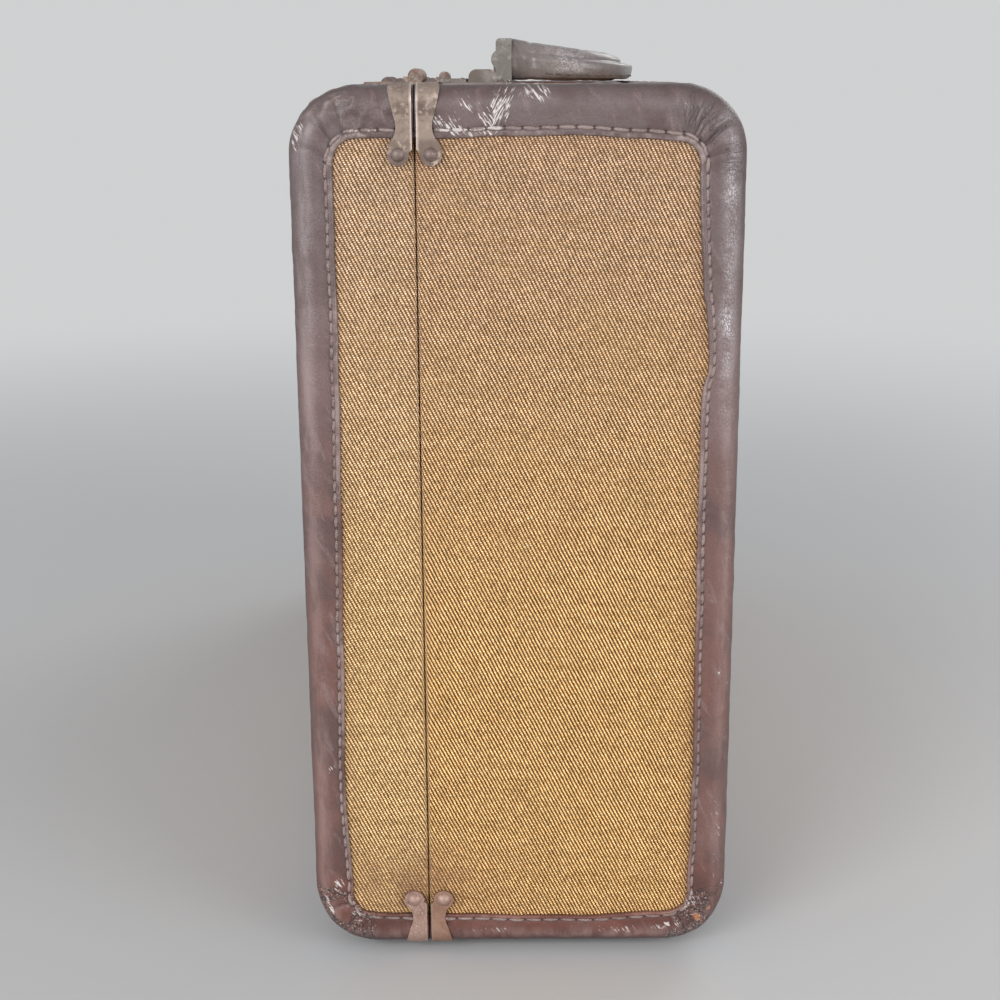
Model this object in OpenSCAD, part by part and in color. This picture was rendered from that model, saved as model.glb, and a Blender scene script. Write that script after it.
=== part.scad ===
// Hard-sided travel case: cloth panels on a bent-board carcass, leather binding on every edge,
// a shallow lid hinged along the bottom, two hasp latches and a folding leather handle on top.
// X is the depth (lid to -X, base to +X), Y the length, Z up; the feet stand on z = 0.

/* [Case] */
// Depth of the closed case over the leather
case_w = 168; // [150:1:200]
// Length of the case over the leather
case_l = 533; // [460:1:640]
// Height of the case body over the leather
case_h = 343; // [300:1:400]
// Depth of the lid
lid_w = 46.5; // [46:0.5:55]
// Outside radius of the four long edges
corner_r = 25; // [22:0.5:25]
// Rounding of the bend between end and walls
edge_r = 6; // [5:0.5:7]
// Slit between lid and base
seam_gap = 1; // [0.8:0.1:1.6]

/* [Layers] */
// Leather thickness
leather_t = 1.4; // [1:0.1:1.8]
// Cloth thickness
cloth_t = 1; // [0.6:0.1:1.2]
// Board thickness of the carcass
board_t = 5; // [4:0.5:6]
// Lining thickness
lining_t = 0.8; // [0.5:0.1:1.2]
// Glue line between layers
glue_gap = 0.1; // [0.05:0.05:0.2]

/* [Leather binding] */
// Binding width on the lid side of an end
bind_lid_w = 16.5; // [14:0.5:20]
// Binding width on the base side of an end
bind_base_w = 18; // [14:0.5:20]
// Binding width at the top of an end
bind_top_w = 20.5; // [18:0.5:21]
// Binding width at the bottom of an end
bind_bottom_w = 14.5; // [12:0.5:16]
// Corner radius of the cloth window in an end
window_r = 8; // [4:0.5:12]
// How far the end binding wraps onto the walls
wrap_w = 18; // [14:0.5:20]
// Straight margin of the long-edge binding beside its bend
edge_leg = 3; // [2:0.5:3]

/* [Rim clips] */
// Sheet thickness of a clip
clip_t = 0.9; // [0.7:0.1:1]
// Width of a clip at the bend
clip_w = 8.5; // [8:0.1:9.5]
// Slit between the two clips of a pair
clip_gap = 1.7; // [1.4:0.1:2.4]
// Distance of a clip's head from the edge, top clips and wall legs
clip_reach = 24.5; // [24:0.5:27]
// Distance of a clip's head from the edge, bottom clips
clip_reach_low = 20.5; // [20:0.5:24]
// Radius of a clip's head
clip_head_r = 4; // [3.8:0.1:4.4]
// Distance from the edge at which a clip starts to narrow
clip_taper = 1.5; // [1:0.1:3]
// Width of a clip at its neck
clip_neck = 5.7; // [5.4:0.1:6]
// Radius of the hollow beside a clip's neck
clip_hollow_r = 8.6; // [8.2:0.1:9]

/* [Rivets] */
// Rivet shank diameter
rivet_d = 2.2; // [1.8:0.1:2.6]
// Clearance of a shank in its hole, on the radius
rivet_clear = 0.05; // [0.02:0.01:0.1]
// Head diameter of clip and hinge rivets
rivet_head_d = 5.2; // [4.4:0.1:5.6]
// Head height of clip and hinge rivets
rivet_head_h = 1.5; // [1:0.1:1.8]

/* [Hinges] */
// Distance of each hinge from the end of the case
hinge_end = 111.5; // [86.5:1:150]
// Length of a hinge
hinge_l = 46; // [36:1:60]
// Width of a hinge leaf
hinge_leaf_w = 15; // [13:0.5:16]
// Hinge sheet thickness
hinge_t = 1.2; // [1:0.1:1.4]
// Outside radius of a hinge knuckle
hinge_knuckle_r = 2.3; // [2.1:0.05:2.35]
// Hinge pin diameter
hinge_pin_d = 2.4; // [2:0.1:2.6]
// Clearance of a pin in its bore, on the radius
pin_clear = 0.05; // [0.02:0.01:0.1]

/* [Latches] */
// Distance of each latch from the end of the case
latch_end = 96.5; // [86.5:1:120]
// Outside radius of the hasp knuckle
hasp_knuckle_r = 3.2; // [3:0.1:3.3]
// Hasp pin diameter
hasp_pin_d = 2.6; // [2:0.1:3]
// Half width of the hasp leaf
hasp_half_w = 7; // [6:0.5:7.5]
// Bolt diameter
bolt_d = 2.6; // [2.2:0.1:2.8]
// Travel of the bolt
bolt_travel = 7; // [6:0.5:7.5]
// Clearance of the bolt in the lock, on the radius
bolt_clear = 0.1; // [0.05:0.01:0.1]

/* [Handle] */
// Distance of each handle post from the middle of the case
post_y = 70; // [64:1:80]
// Height of the handle pivot above the leather
pivot_h = 10.6; // [10.6:0.1:13]
// Handle pin diameter
handle_pin_d = 4; // [3:0.1:4.4]
// Height of the handle cap
cap_h = 19.2; // [18:0.2:19.4]
// Rise of the bow's centre line
bow_rise = 49; // [40:1:60]
// Depth of the sewn welt on the bow
welt_w = 5.5; // [3:0.5:7]

/* [Hidden] */
$fn = 96;
foot_h = 5;
body_z0 = foot_h;
body_z1 = foot_h + case_h;
mid_z = foot_h + case_h / 2;
hinge_y = case_l / 2 - hinge_end;
latch_y = case_l / 2 - latch_end;
split_x = -case_w / 2 + lid_w;
board_in = leather_t + cloth_t + glue_gap;
cavity_in = board_in + board_t;
liner_in = cavity_in + glue_gap;
room_in = liner_in + lining_t;
shell_l = case_l - 2 * board_in;
cloth_l = case_l - 2 * (edge_r + glue_gap);
cloth_top = body_z1 - leather_t;
cloth_bottom = body_z0 + leather_t;
bend_t = leather_t + cloth_t;
far = 1000;
valance_t = 1.6;
valance_in_lid = 8;
valance_in_base = 16;
lid_liner_set = valance_in_lid + 3;
hinge_z = body_z0 - clip_t - glue_gap;
seat = 0.05;
hasp_x = split_x - hasp_knuckle_r;
hasp_z = body_z1 + 3;
latch_plate_t = 2.4;
latch_plate_x0 = -case_w / 2 + corner_r + edge_leg + 0.3;
latch_half_w = 16;
latch_lip = 6;
hasp_half_k = 7.8;
lock_plate_t = 1.8;
lock_plate_z1 = cloth_top + lock_plate_t;
lock_x0 = split_x + 1.2;
lock_reach = 36;
lock_x1 = split_x + lock_reach;
cheek_in = 18.2;
cheek_l = 11.6;
cheek_x0 = split_x + cheek_in;
cheek_x1 = cheek_x0 + cheek_l;
bolt_x = (cheek_x0 + cheek_x1) / 2;
leaf_t = 1.3;
leaf_z = lock_plate_z1 + 0.3;
tongue_end = 2.7;
tongue_half = 1.9;
bolt_over = 0.5;
bolt_z = leaf_z + leaf_t + bolt_over + bolt_d / 2;
cheek_h = bolt_z - lock_plate_z1 + bolt_d / 2 + 0.6;
cheek_y0 = 2.6;
cheek_y1 = 10;
button_w = 6;
button_l = 9;
button_h = 4.6;
latch_rivet_y = 11;
button_y = cheek_y1 + 1 + bolt_travel;
post_t = 1.4;
pivot_x = -5.9;
pivot_z = body_z1 + pivot_h;
eye_r = 4.7;
cap_back = 2.5;
cap_front = 5;
cap_half_y = 6.5;
post_half = 1.6;
slot_half = 2;
bow_half = post_y;
bow_e = 0.62;
bow_steps = 36;
bow_points = 24;
grip_a0 = 6.3;
grip_a1 = 7;
grip_b0 = cap_h / 2 - 0.2;
grip_b1 = 6;
grip_drop = 4.1;
core_a = 1.6;
core_b = 4.5;
core_gap = 0.05;
foot_d = 11;
foot_flat_d = 7;
foot_end = 66.5;
foot_y = case_l / 2 - foot_end;
foot_in = 14;
lid_foot_x = (split_x - seam_gap / 2 - case_w / 2 + corner_r + edge_leg) / 2;
base_foot_x = [split_x + foot_in, case_w / 2 - corner_r - edge_leg - foot_d / 2 - 1];
strap_w = 25;
strap_t = 1.6;
strap_end = 151.5;
strap_y = case_l / 2 - strap_end;
buckle_l = 30;
buckle_side = 5;
buckle_bar = 6;
buckle_slot = 9;
buckle_t = 2;
pocket_t = 3;
pocket_end = 60;
pocket_up = 4;

// Shared shapes

module along_y(y0, y1) {
  translate([0, y1, 0]) rotate([90, 0, 0]) linear_extrude(y1 - y0) children();
}

module along_x(len) {
  rotate([90, 0, 90]) linear_extrude(len) children();
}

module case_profile(inset) {
  w = case_w - 2 * inset;
  h = case_h - 2 * inset;
  r = corner_r - inset;
  translate([0, mid_z]) {
    square([w - 2 * r, h], center = true);
    square([w, h - 2 * r], center = true);
    for (sx = [-1, 1], sz = [-1, 1]) {
      translate([sx * (w / 2 - r), sz * (h / 2 - r)]) circle(r);
    }
  }
}

module lid_half(back = 0) {
  translate([split_x - seam_gap / 2 - back - far, -far]) square([far, 2 * far]);
}

module base_half() {
  translate([split_x + seam_gap / 2, -far]) square([far, 2 * far]);
}

module lid_space() {
  translate([split_x - seam_gap / 2 - far, -far, -far]) cube([far, 2 * far, 2 * far]);
}

module base_space() {
  translate([split_x + seam_gap / 2, -far, -far]) cube([far, 2 * far, 2 * far]);
}

module both_ends(sides = [-1, 1]) {
  for (side = sides) {
    mirror([0, side > 0 ? 1 : 0, 0]) children();
  }
}

module rivet(head_d, head_h, len) {
  dome_r = (head_d * head_d / 4 + head_h * head_h) / (2 * head_h);
  intersection() {
    translate([0, 0, head_h - dome_r]) sphere(dome_r);
    translate([0, 0, head_h / 2]) cube([head_d + 1, head_d + 1, head_h], center = true);
  }
  translate([0, 0, -len]) cylinder(d = rivet_d, h = len + 0.2);
}

module rivet_hole(len) {
  translate([0, 0, -len - 1]) cylinder(r = rivet_d / 2 + rivet_clear, h = len + 2);
}

// Carcass

module shell_profile() {
  difference() {
    case_profile(board_in);
    case_profile(cavity_in);
  }
}

module base_shell() {
  color("#8a6a45") along_y(-shell_l / 2, shell_l / 2) intersection() {
    shell_profile();
    base_half();
  }
}

module lid_shell() {
  color("#8a6a45") along_y(-shell_l / 2, shell_l / 2) intersection() {
    shell_profile();
    lid_half();
  }
}

module end_board() {
  along_y(-shell_l / 2, -shell_l / 2 + board_t) intersection() {
    case_profile(cavity_in + glue_gap);
    children();
  }
}

module base_end_board(side) {
  color("#94734c") both_ends([side]) end_board() base_half();
}

module lid_end_board(side) {
  color("#94734c") both_ends([side]) end_board() lid_half();
}

// Cloth panels

module wall_cloth(x0, x1, z) {
  translate([x0, -cloth_l / 2, z]) cube([x1 - x0, cloth_l, cloth_t]);
}

module base_top_cloth() {
  color("#b79a63") wall_cloth(split_x + seam_gap / 2, case_w / 2 - corner_r, cloth_top - cloth_t);
}

module base_bottom_cloth() {
  color("#b79a63") wall_cloth(split_x + seam_gap / 2, case_w / 2 - corner_r, cloth_bottom);
}

module lid_top_cloth() {
  color("#b79a63") wall_cloth(-case_w / 2 + corner_r, split_x - seam_gap / 2, cloth_top - cloth_t);
}

module lid_bottom_cloth() {
  color("#b79a63") wall_cloth(-case_w / 2 + corner_r, split_x - seam_gap / 2, cloth_bottom);
}

module face_cloth() {
  translate([case_w / 2 - leather_t - cloth_t, -cloth_l / 2, body_z0 + corner_r])
    cube([cloth_t, cloth_l, case_h - 2 * corner_r]);
}

module base_face_cloth() {
  color("#b79a63") face_cloth();
}

module lid_face_cloth() {
  color("#b79a63") mirror([1, 0, 0]) face_cloth();
}

module end_cloth() {
  along_y(-case_l / 2 + leather_t, -case_l / 2 + bend_t) intersection() {
    case_profile(edge_r + glue_gap);
    children();
  }
}

module base_end_cloth(side) {
  color("#b79a63") both_ends([side]) end_cloth() base_half();
}

module lid_end_cloth(side) {
  color("#b79a63") both_ends([side]) end_cloth() lid_half();
}

// Leather binding

module binding_section(leg_t) {
  difference() {
    intersection() {
      translate([edge_r, edge_r]) circle(edge_r);
      square(edge_r);
    }
    translate([bend_t, bend_t]) square(edge_r);
  }
  translate([0, edge_r]) square([leg_t, wrap_w - edge_r]);
}

module binding_side(angle, half, len) {
  translate([0, 0, mid_z]) rotate([0, angle, 0]) translate([-len / 2, -case_l / 2, half])
    along_x(len) rotate(-90) binding_section(leather_t);
}

module binding_corner(angle, sx, sz) {
  translate([sx * (case_w / 2 - corner_r), -case_l / 2, mid_z + sz * (case_h / 2 - corner_r)])
    rotate([0, angle, 0]) rotate([-90, 0, 0]) rotate_extrude(angle = 90)
      translate([corner_r, 0]) mirror([1, 0]) binding_section(bend_t);
}

module binding_window() {
  x0 = -case_w / 2 + bind_lid_w;
  x1 = case_w / 2 - bind_base_w;
  z0 = body_z0 + bind_bottom_w;
  z1 = body_z1 - bind_top_w;
  translate([x0 + window_r, z0]) square([x1 - x0 - 2 * window_r, z1 - z0]);
  translate([x0, z0 + window_r]) square([x1 - x0, z1 - z0 - 2 * window_r]);
  for (x = [x0 + window_r, x1 - window_r], z = [z0 + window_r, z1 - window_r]) {
    translate([x, z]) circle(window_r);
  }
}

module end_binding() {
  along_y(-case_l / 2, -case_l / 2 + leather_t) difference() {
    case_profile(edge_r);
    binding_window();
  }
  binding_side(0, case_h / 2, case_w - 2 * corner_r);
  binding_side(90, case_w / 2, case_h - 2 * corner_r);
  binding_side(180, case_h / 2, case_w - 2 * corner_r);
  binding_side(270, case_w / 2, case_h - 2 * corner_r);
  binding_corner(0, 1, -1);
  binding_corner(90, -1, -1);
  binding_corner(180, -1, 1);
  binding_corner(270, 1, 1);
}

module base_end_binding(side) {
  color("#5a3d33") both_ends([side]) intersection() {
    end_binding();
    base_space();
  }
}

module lid_end_binding(side) {
  color("#5a3d33") both_ends([side]) intersection() {
    end_binding();
    lid_space();
  }
}

module edge_binding() {
  half = case_l / 2 - wrap_w - 0.2;
  cx = case_w / 2 - corner_r;
  cz = body_z1 - corner_r;
  along_y(-half, half) {
    translate([cx, cz]) intersection() {
      difference() {
        circle(corner_r);
        circle(corner_r - bend_t);
      }
      square(corner_r);
    }
    translate([cx - edge_leg, body_z1 - leather_t]) square([edge_leg, leather_t]);
    translate([case_w / 2 - leather_t, cz - edge_leg]) square([leather_t, edge_leg]);
  }
}

module upside_down() {
  translate([0, 0, mid_z]) mirror([0, 0, 1]) translate([0, 0, -mid_z]) children();
}

module base_edge_binding_top() {
  color("#5a3d33") edge_binding();
}

module base_edge_binding_bottom() {
  color("#5a3d33") upside_down() edge_binding();
}

module lid_edge_binding_top() {
  color("#5a3d33") mirror([1, 0, 0]) edge_binding();
}

module lid_edge_binding_bottom() {
  color("#5a3d33") mirror([1, 0, 0]) upside_down() edge_binding();
}

// Rim clips, each bent over the end edge beside the slit

// What is cut from the outer side: a straight taper that runs into the hollow of the neck
module clip_hollow(reach) {
  mid = [clip_neck + clip_hollow_r, edge_r + (reach - edge_r) * 0.45];
  translate(mid) circle(clip_hollow_r);
  polygon([[clip_w + 0.1, clip_taper], [clip_neck + 0.4, mid[1] - 1.6], mid, [mid[0], clip_taper]]);
}

module clip_side(reach) {
  translate([0, 0, -edge_r / 2]) linear_extrude(edge_r) clip_hollow(reach);
}

module clip_outline(reach) {
  difference() {
    translate([0, edge_r]) square([clip_w, reach - edge_r]);
    clip_hollow(reach);
    translate([0, reach]) rotate(45) square(2.6, center = true);
  }
  translate([clip_w - clip_head_r + 0.6, reach]) circle(clip_head_r);
}

module clip_leg(reach) {
  head_x = clip_w - clip_head_r + 0.6;
  difference() {
    union() {
      translate([0, 0, seat]) linear_extrude(clip_t) clip_outline(reach);
      translate([head_x, reach, -leather_t + seat]) cylinder(r = clip_head_r - 0.7, h = leather_t + 0.1);
    }
    translate([head_x, reach, clip_t]) rivet_hole(leather_t + clip_t);
  }
}

module clip(reach) {
  clip_leg(clip_reach);
  mirror([0, 1, 0]) rotate([-90, 0, 0]) clip_leg(reach);
  difference() {
    translate([0, edge_r, -edge_r]) along_x(clip_w) intersection() {
      difference() {
        circle(edge_r + seat + clip_t);
        circle(edge_r + seat);
      }
      translate([-far, 0]) square(far);
    }
    clip_side(clip_reach);
    mirror([0, 1, 0]) rotate([-90, 0, 0]) clip_side(reach);
  }
}

module clip_rivets(reach) {
  head_x = clip_w - clip_head_r + 0.6;
  len = leather_t + clip_t - 0.1;
  translate([head_x, clip_reach, seat + clip_t]) rivet(rivet_head_d, rivet_head_h, len);
  translate([head_x, -seat - clip_t, -reach]) rotate([90, 0, 0]) rivet(rivet_head_d, rivet_head_h, len);
}

module at_clips(sx) {
  for (side = [-1, 1], up = [-1, 1]) {
    translate([split_x + sx * clip_gap / 2, side * case_l / 2, up > 0 ? body_z1 : body_z0])
      mirror([sx < 0 ? 1 : 0, 0, 0]) mirror([0, side > 0 ? 1 : 0, 0]) mirror([0, 0, up < 0 ? 1 : 0])
        if (up > 0) children(0); else children(1);
  }
}

module base_rim_clips() {
  color("#a88d54") at_clips(1) {
    clip(clip_reach);
    clip(clip_reach_low);
  }
}

module lid_rim_clips() {
  color("#a88d54") at_clips(-1) {
    clip(clip_reach);
    clip(clip_reach_low);
  }
}

module base_clip_rivets() {
  color("#8f7744") at_clips(1) {
    clip_rivets(clip_reach);
    clip_rivets(clip_reach_low);
  }
}

module lid_clip_rivets() {
  color("#8f7744") at_clips(-1) {
    clip_rivets(clip_reach);
    clip_rivets(clip_reach_low);
  }
}

// Lining and inner fittings

module liner(x0, x1) {
  intersection() {
    difference() {
      along_y(-case_l / 2 + liner_in, case_l / 2 - liner_in) case_profile(liner_in);
      along_y(-case_l / 2 + room_in, case_l / 2 - room_in) case_profile(room_in);
    }
    translate([x0, -far, -far]) cube([x1 - x0, 2 * far, 2 * far]);
  }
}

module base_lining() {
  color("#c9a77c") liner(split_x + seam_gap / 2, case_w / 2);
}

module lid_lining() {
  color("#c9a77c") liner(-case_w / 2, split_x - lid_liner_set);
}

module valance() {
  in = room_in + glue_gap;
  half_y = case_l / 2 - in;
  half_z = case_h / 2 - in;
  len = valance_in_lid + valance_in_base;
  color("#7d6248") translate([split_x - valance_in_lid, 0, mid_z]) difference() {
    translate([0, -half_y, -half_z]) cube([len, 2 * half_y, 2 * half_z]);
    translate([-1, valance_t - half_y, valance_t - half_z])
      cube([len + 2, 2 * (half_y - valance_t), 2 * (half_z - valance_t)]);
  }
}

module packing_straps() {
  x1 = case_w / 2 - room_in - glue_gap;
  len = case_h - 2 * corner_r;
  color("#6b5138") for (y = [-strap_y, strap_y]) {
    translate([x1 - strap_t, y - strap_w / 2, mid_z - len / 2]) cube([strap_t, strap_w, len]);
  }
}

module strap_buckles() {
  x1 = case_w / 2 - room_in - glue_gap - strap_t;
  color("#9c9488") for (y = [-strap_y, strap_y]) {
    translate([x1 - buckle_t, y, mid_z]) rotate([0, 90, 0]) linear_extrude(buckle_t) difference() {
      square([buckle_l, strap_w + 2 * buckle_side], center = true);
      for (x = [-1, 1]) {
        translate([x * (buckle_slot + buckle_bar) / 2, 0]) square([buckle_slot, strap_w + 2], center = true);
      }
    }
  }
}

module lid_pocket() {
  x0 = -case_w / 2 + room_in + glue_gap;
  color("#b9946a") translate([x0, -case_l / 2 + pocket_end, body_z0 + corner_r + pocket_up])
    cube([pocket_t, case_l - 2 * pocket_end, case_h * 0.52]);
}

module foot(z1) {
  r = (foot_d - foot_flat_d) / 2;
  rotate_extrude() {
    square([foot_flat_d / 2, z1]);
    translate([0, r]) square([foot_d / 2, z1 - r]);
    translate([foot_flat_d / 2, r]) circle(r);
  }
}

module base_feet() {
  color("#4a423a") for (x = base_foot_x, y = [-foot_y, foot_y]) {
    translate([x, y, 0]) foot(cloth_bottom);
  }
}

module lid_feet() {
  color("#4a423a") for (y = [-foot_y, foot_y]) {
    translate([lid_foot_x, y, 0]) foot(cloth_bottom);
  }
}

// Hinges under the slit

module hinge_leaf(sx, own, other) {
  difference() {
    union() {
      translate([sx > 0 ? 0.6 : -hinge_leaf_w - 0.6, -hinge_l / 2, cloth_bottom - hinge_z - hinge_t])
        cube([hinge_leaf_w, hinge_l, hinge_t]);
      for (span = own) {
        translate([0, span[1], 0]) rotate([90, 0, 0]) cylinder(r = hinge_knuckle_r, h = span[1] - span[0]);
      }
    }
    for (span = other) {
      translate([0, span[1] + 0.15, 0]) rotate([90, 0, 0])
        cylinder(r = hinge_knuckle_r + 0.3, h = span[1] - span[0] + 0.3);
    }
    translate([0, hinge_l, 0]) rotate([90, 0, 0]) cylinder(r = hinge_pin_d / 2 + pin_clear, h = 2 * hinge_l);
    for (y = [-hinge_l / 3, hinge_l / 3]) {
      translate([sx * (hinge_leaf_w - 3.5), y, cloth_bottom - hinge_z]) rivet_hole(hinge_t);
    }
  }
}

function outer_spans() = [[-hinge_l / 2, -hinge_l / 6], [hinge_l / 6, hinge_l / 2]];
function middle_spans() = [[-hinge_l / 6 + 0.15, hinge_l / 6 - 0.15]];

module at_hinges() {
  for (y = [-hinge_y, hinge_y]) {
    translate([split_x, y, hinge_z]) children();
  }
}

module base_hinge_leaves() {
  color("#8d7a52") at_hinges() hinge_leaf(1, outer_spans(), middle_spans());
}

module lid_hinge_leaves() {
  color("#8d7a52") at_hinges() hinge_leaf(-1, middle_spans(), outer_spans());
}

module hinge_pins() {
  color("#6d675c") at_hinges() translate([0, hinge_l / 2, 0]) rotate([90, 0, 0])
    cylinder(d = hinge_pin_d, h = hinge_l);
}

module hinge_leaf_rivets(sx) {
  at_hinges() for (y = [-hinge_l / 3, hinge_l / 3]) {
    translate([sx * (hinge_leaf_w - 3.5), y, cloth_bottom - hinge_z - hinge_t]) rotate([180, 0, 0])
      rivet(rivet_head_d, rivet_head_h - 0.2, hinge_t);
  }
}

module base_hinge_rivets() {
  color("#8f7744") hinge_leaf_rivets(1);
}

module lid_hinge_rivets() {
  color("#8f7744") hinge_leaf_rivets(-1);
}

// Latches: hinged hasp on the lid, lock with a sliding bolt on the base

module latch_plate() {
  difference() {
    union() {
      translate([latch_plate_x0, -latch_half_w, cloth_top])
        cube([hasp_x - 3 - latch_plate_x0, 2 * latch_half_w, latch_plate_t]);
      translate([latch_plate_x0 - latch_lip, -latch_half_w, body_z1 + seat])
        cube([latch_lip + 1, 2 * latch_half_w, cloth_top + latch_plate_t - body_z1 - seat]);
      for (y = [-latch_half_w, hasp_half_k + 0.2]) {
        translate([hasp_x - 5, y, cloth_top])
          cube([5, latch_half_w - hasp_half_k - 0.2, hasp_z - cloth_top]);
        translate([hasp_x, y, hasp_z]) rotate([-90, 0, 0])
          cylinder(r = hasp_knuckle_r, h = latch_half_w - hasp_half_k - 0.2);
      }
    }
    translate([hasp_x, -far, hasp_z]) rotate([-90, 0, 0]) cylinder(r = hasp_pin_d / 2 + pin_clear, h = 2 * far);
    for (y = [-latch_rivet_y, latch_rivet_y]) {
      translate([latch_plate_x0 + 3.6, y, cloth_top + latch_plate_t]) rivet_hole(latch_plate_t);
    }
  }
}

module latch_plate_near() {
  color("#9b8250") translate([0, -latch_y, 0]) latch_plate();
}

module latch_plate_far() {
  color("#9b8250") translate([0, latch_y, 0]) mirror([0, 1, 0]) latch_plate();
}

module latch_pins() {
  color("#6d675c") for (y = [-latch_y, latch_y]) {
    translate([hasp_x, y - latch_half_w, hasp_z]) rotate([-90, 0, 0]) cylinder(d = hasp_pin_d, h = 2 * latch_half_w);
  }
}

module latch_rivets() {
  color("#8f7744") for (y = [-latch_y, latch_y], dy = [-latch_rivet_y, latch_rivet_y]) {
    translate([latch_plate_x0 + 3.6, y + dy, cloth_top + latch_plate_t]) rivet(6.2, 2, latch_plate_t);
  }
}

module hasp() {
  difference() {
    union() {
      translate([hasp_x, -hasp_half_k, hasp_z]) rotate([-90, 0, 0]) cylinder(r = hasp_knuckle_r, h = 2 * hasp_half_k);
      translate([hasp_x, -hasp_half_w, leaf_z]) cube([cheek_x0 - 1 - hasp_x, 2 * hasp_half_w, leaf_t]);
      translate([hasp_x, -tongue_half, leaf_z])
        cube([bolt_x + tongue_end - hasp_x, 2 * tongue_half, leaf_t]);
    }
    translate([hasp_x, -far, hasp_z]) rotate([-90, 0, 0]) cylinder(r = hasp_pin_d / 2 + pin_clear, h = 2 * far);
  }
}

module hasp_near() {
  color("#a58b55") translate([0, -latch_y, 0]) hasp();
}

module hasp_far() {
  color("#a58b55") translate([0, latch_y, 0]) mirror([0, 1, 0]) hasp();
}

module cheek_profile() {
  r = 3.2;
  translate([cheek_x0, 0]) square([cheek_x1 - cheek_x0, cheek_h - r]);
  translate([cheek_x0 + r, 0]) square([cheek_x1 - cheek_x0 - 2 * r, cheek_h]);
  for (x = [cheek_x0 + r, cheek_x1 - r]) {
    translate([x, cheek_h - r]) circle(r);
  }
}

module lock_body() {
  difference() {
    union() {
      translate([lock_x0, -latch_half_w, cloth_top])
        cube([lock_x1 - lock_x0, latch_half_w + button_y + button_w + 1, lock_plate_t]);
      for (y = [-cheek_y1, cheek_y0]) {
        translate([0, 0, lock_plate_z1]) along_y(y, y + cheek_y1 - cheek_y0) cheek_profile();
      }
    }
    translate([bolt_x, -cheek_y1 + 2, bolt_z]) rotate([-90, 0, 0])
      cylinder(r = bolt_d / 2 + bolt_clear, h = 2 * cheek_y1);
    for (x = [lock_x0 + 4, lock_x1 - 4], y = [3.5 - latch_half_w, button_y + button_w - 2.5]) {
      translate([x, y, lock_plate_z1]) rivet_hole(lock_plate_t);
    }
  }
}

module lock_body_near() {
  color("#94794a") translate([0, -latch_y, 0]) lock_body();
}

module lock_body_far() {
  color("#94794a") translate([0, latch_y, 0]) mirror([0, 1, 0]) lock_body();
}

module lock_bolt() {
  translate([bolt_x, cheek_y0 + 0.4, bolt_z]) rotate([-90, 0, 0]) cylinder(d = bolt_d, h = button_y - cheek_y0);
  difference() {
    translate([bolt_x - button_l / 2, button_y, lock_plate_z1 + 0.2]) cube([button_l, button_w, button_h]);
    for (y = [button_y + 1.5, button_y + 3, button_y + 4.5]) {
      translate([bolt_x - button_l, y, lock_plate_z1 + button_h + 0.5])
        rotate([0, 90, 0]) cylinder(r = 0.6, h = 2 * button_l);
    }
  }
}

module lock_bolt_near() {
  color("#6f6148") translate([0, -latch_y, 0]) lock_bolt();
}

module lock_bolt_far() {
  color("#6f6148") translate([0, latch_y, 0]) mirror([0, 1, 0]) lock_bolt();
}

module lock_rivets() {
  color("#8f7744") for (side = [-1, 1]) {
    translate([0, side * latch_y, 0]) mirror([0, side > 0 ? 1 : 0, 0])
      for (x = [lock_x0 + 4, lock_x1 - 4], y = [3.5 - latch_half_w, button_y + button_w - 2.5]) {
        translate([x, y, lock_plate_z1]) rivet(4.4, 1.3, lock_plate_t);
      }
  }
}

// Handle

module handle_post() {
  difference() {
    union() {
      translate([pivot_x - 6, -12, cloth_top]) cube([16, 24, post_t]);
      translate([pivot_x - 3.6, -post_half, cloth_top + post_t / 2])
        cube([7.2, 2 * post_half, pivot_z - cloth_top - post_t / 2]);
      translate([pivot_x, post_half, pivot_z]) rotate([90, 0, 0]) cylinder(r = 3.6, h = 2 * post_half);
    }
    translate([pivot_x, far, pivot_z]) rotate([90, 0, 0]) cylinder(r = handle_pin_d / 2 + pin_clear, h = 2 * far);
    for (y = [-9.2, 9.2]) {
      translate([pivot_x + 6.5, y, cloth_top + post_t]) rivet_hole(post_t);
    }
  }
}

module handle_post_near() {
  color("#8d7a52") translate([0, -post_y, 0]) handle_post();
}

module handle_post_far() {
  color("#8d7a52") translate([0, post_y, 0]) handle_post();
}

module handle_rivets() {
  color("#8f7744") for (y = [-post_y, post_y], dy = [-9.2, 9.2]) {
    translate([pivot_x + 6.5, y + dy, cloth_top + post_t]) rivet(4.4, 1, post_t);
  }
}

module handle_pins() {
  color("#6d675c") for (y = [-post_y, post_y]) {
    translate([pivot_x, y + cap_half_y, pivot_z]) rotate([90, 0, 0]) cylinder(d = handle_pin_d, h = 2 * cap_half_y);
  }
}

module handle_cap() {
  r = 2;
  difference() {
    union() {
      translate([pivot_x, -cap_half_y, pivot_z]) along_y(0, 2 * cap_half_y) {
        translate([r - cap_back, -cap_h / 2]) square([cap_back + cap_front - r, cap_h]);
        translate([-cap_back, r - cap_h / 2]) square([cap_back + cap_front, cap_h - 2 * r]);
        for (z = [r - cap_h / 2, cap_h / 2 - r]) {
          translate([r - cap_back, z]) circle(r);
        }
        circle(eye_r);
      }
    }
    translate([pivot_x - 20, -slot_half, pivot_z - 20]) cube([20 + 4.2, 2 * slot_half, 20 + 4.2]);
    translate([pivot_x, far, pivot_z]) rotate([90, 0, 0]) cylinder(r = handle_pin_d / 2 + pin_clear, h = 2 * far);
  }
}

module handle_cap_near() {
  color("#9b8250") translate([0, -post_y, 0]) handle_cap();
}

module handle_cap_far() {
  color("#9b8250") translate([0, post_y, 0]) handle_cap();
}

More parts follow.
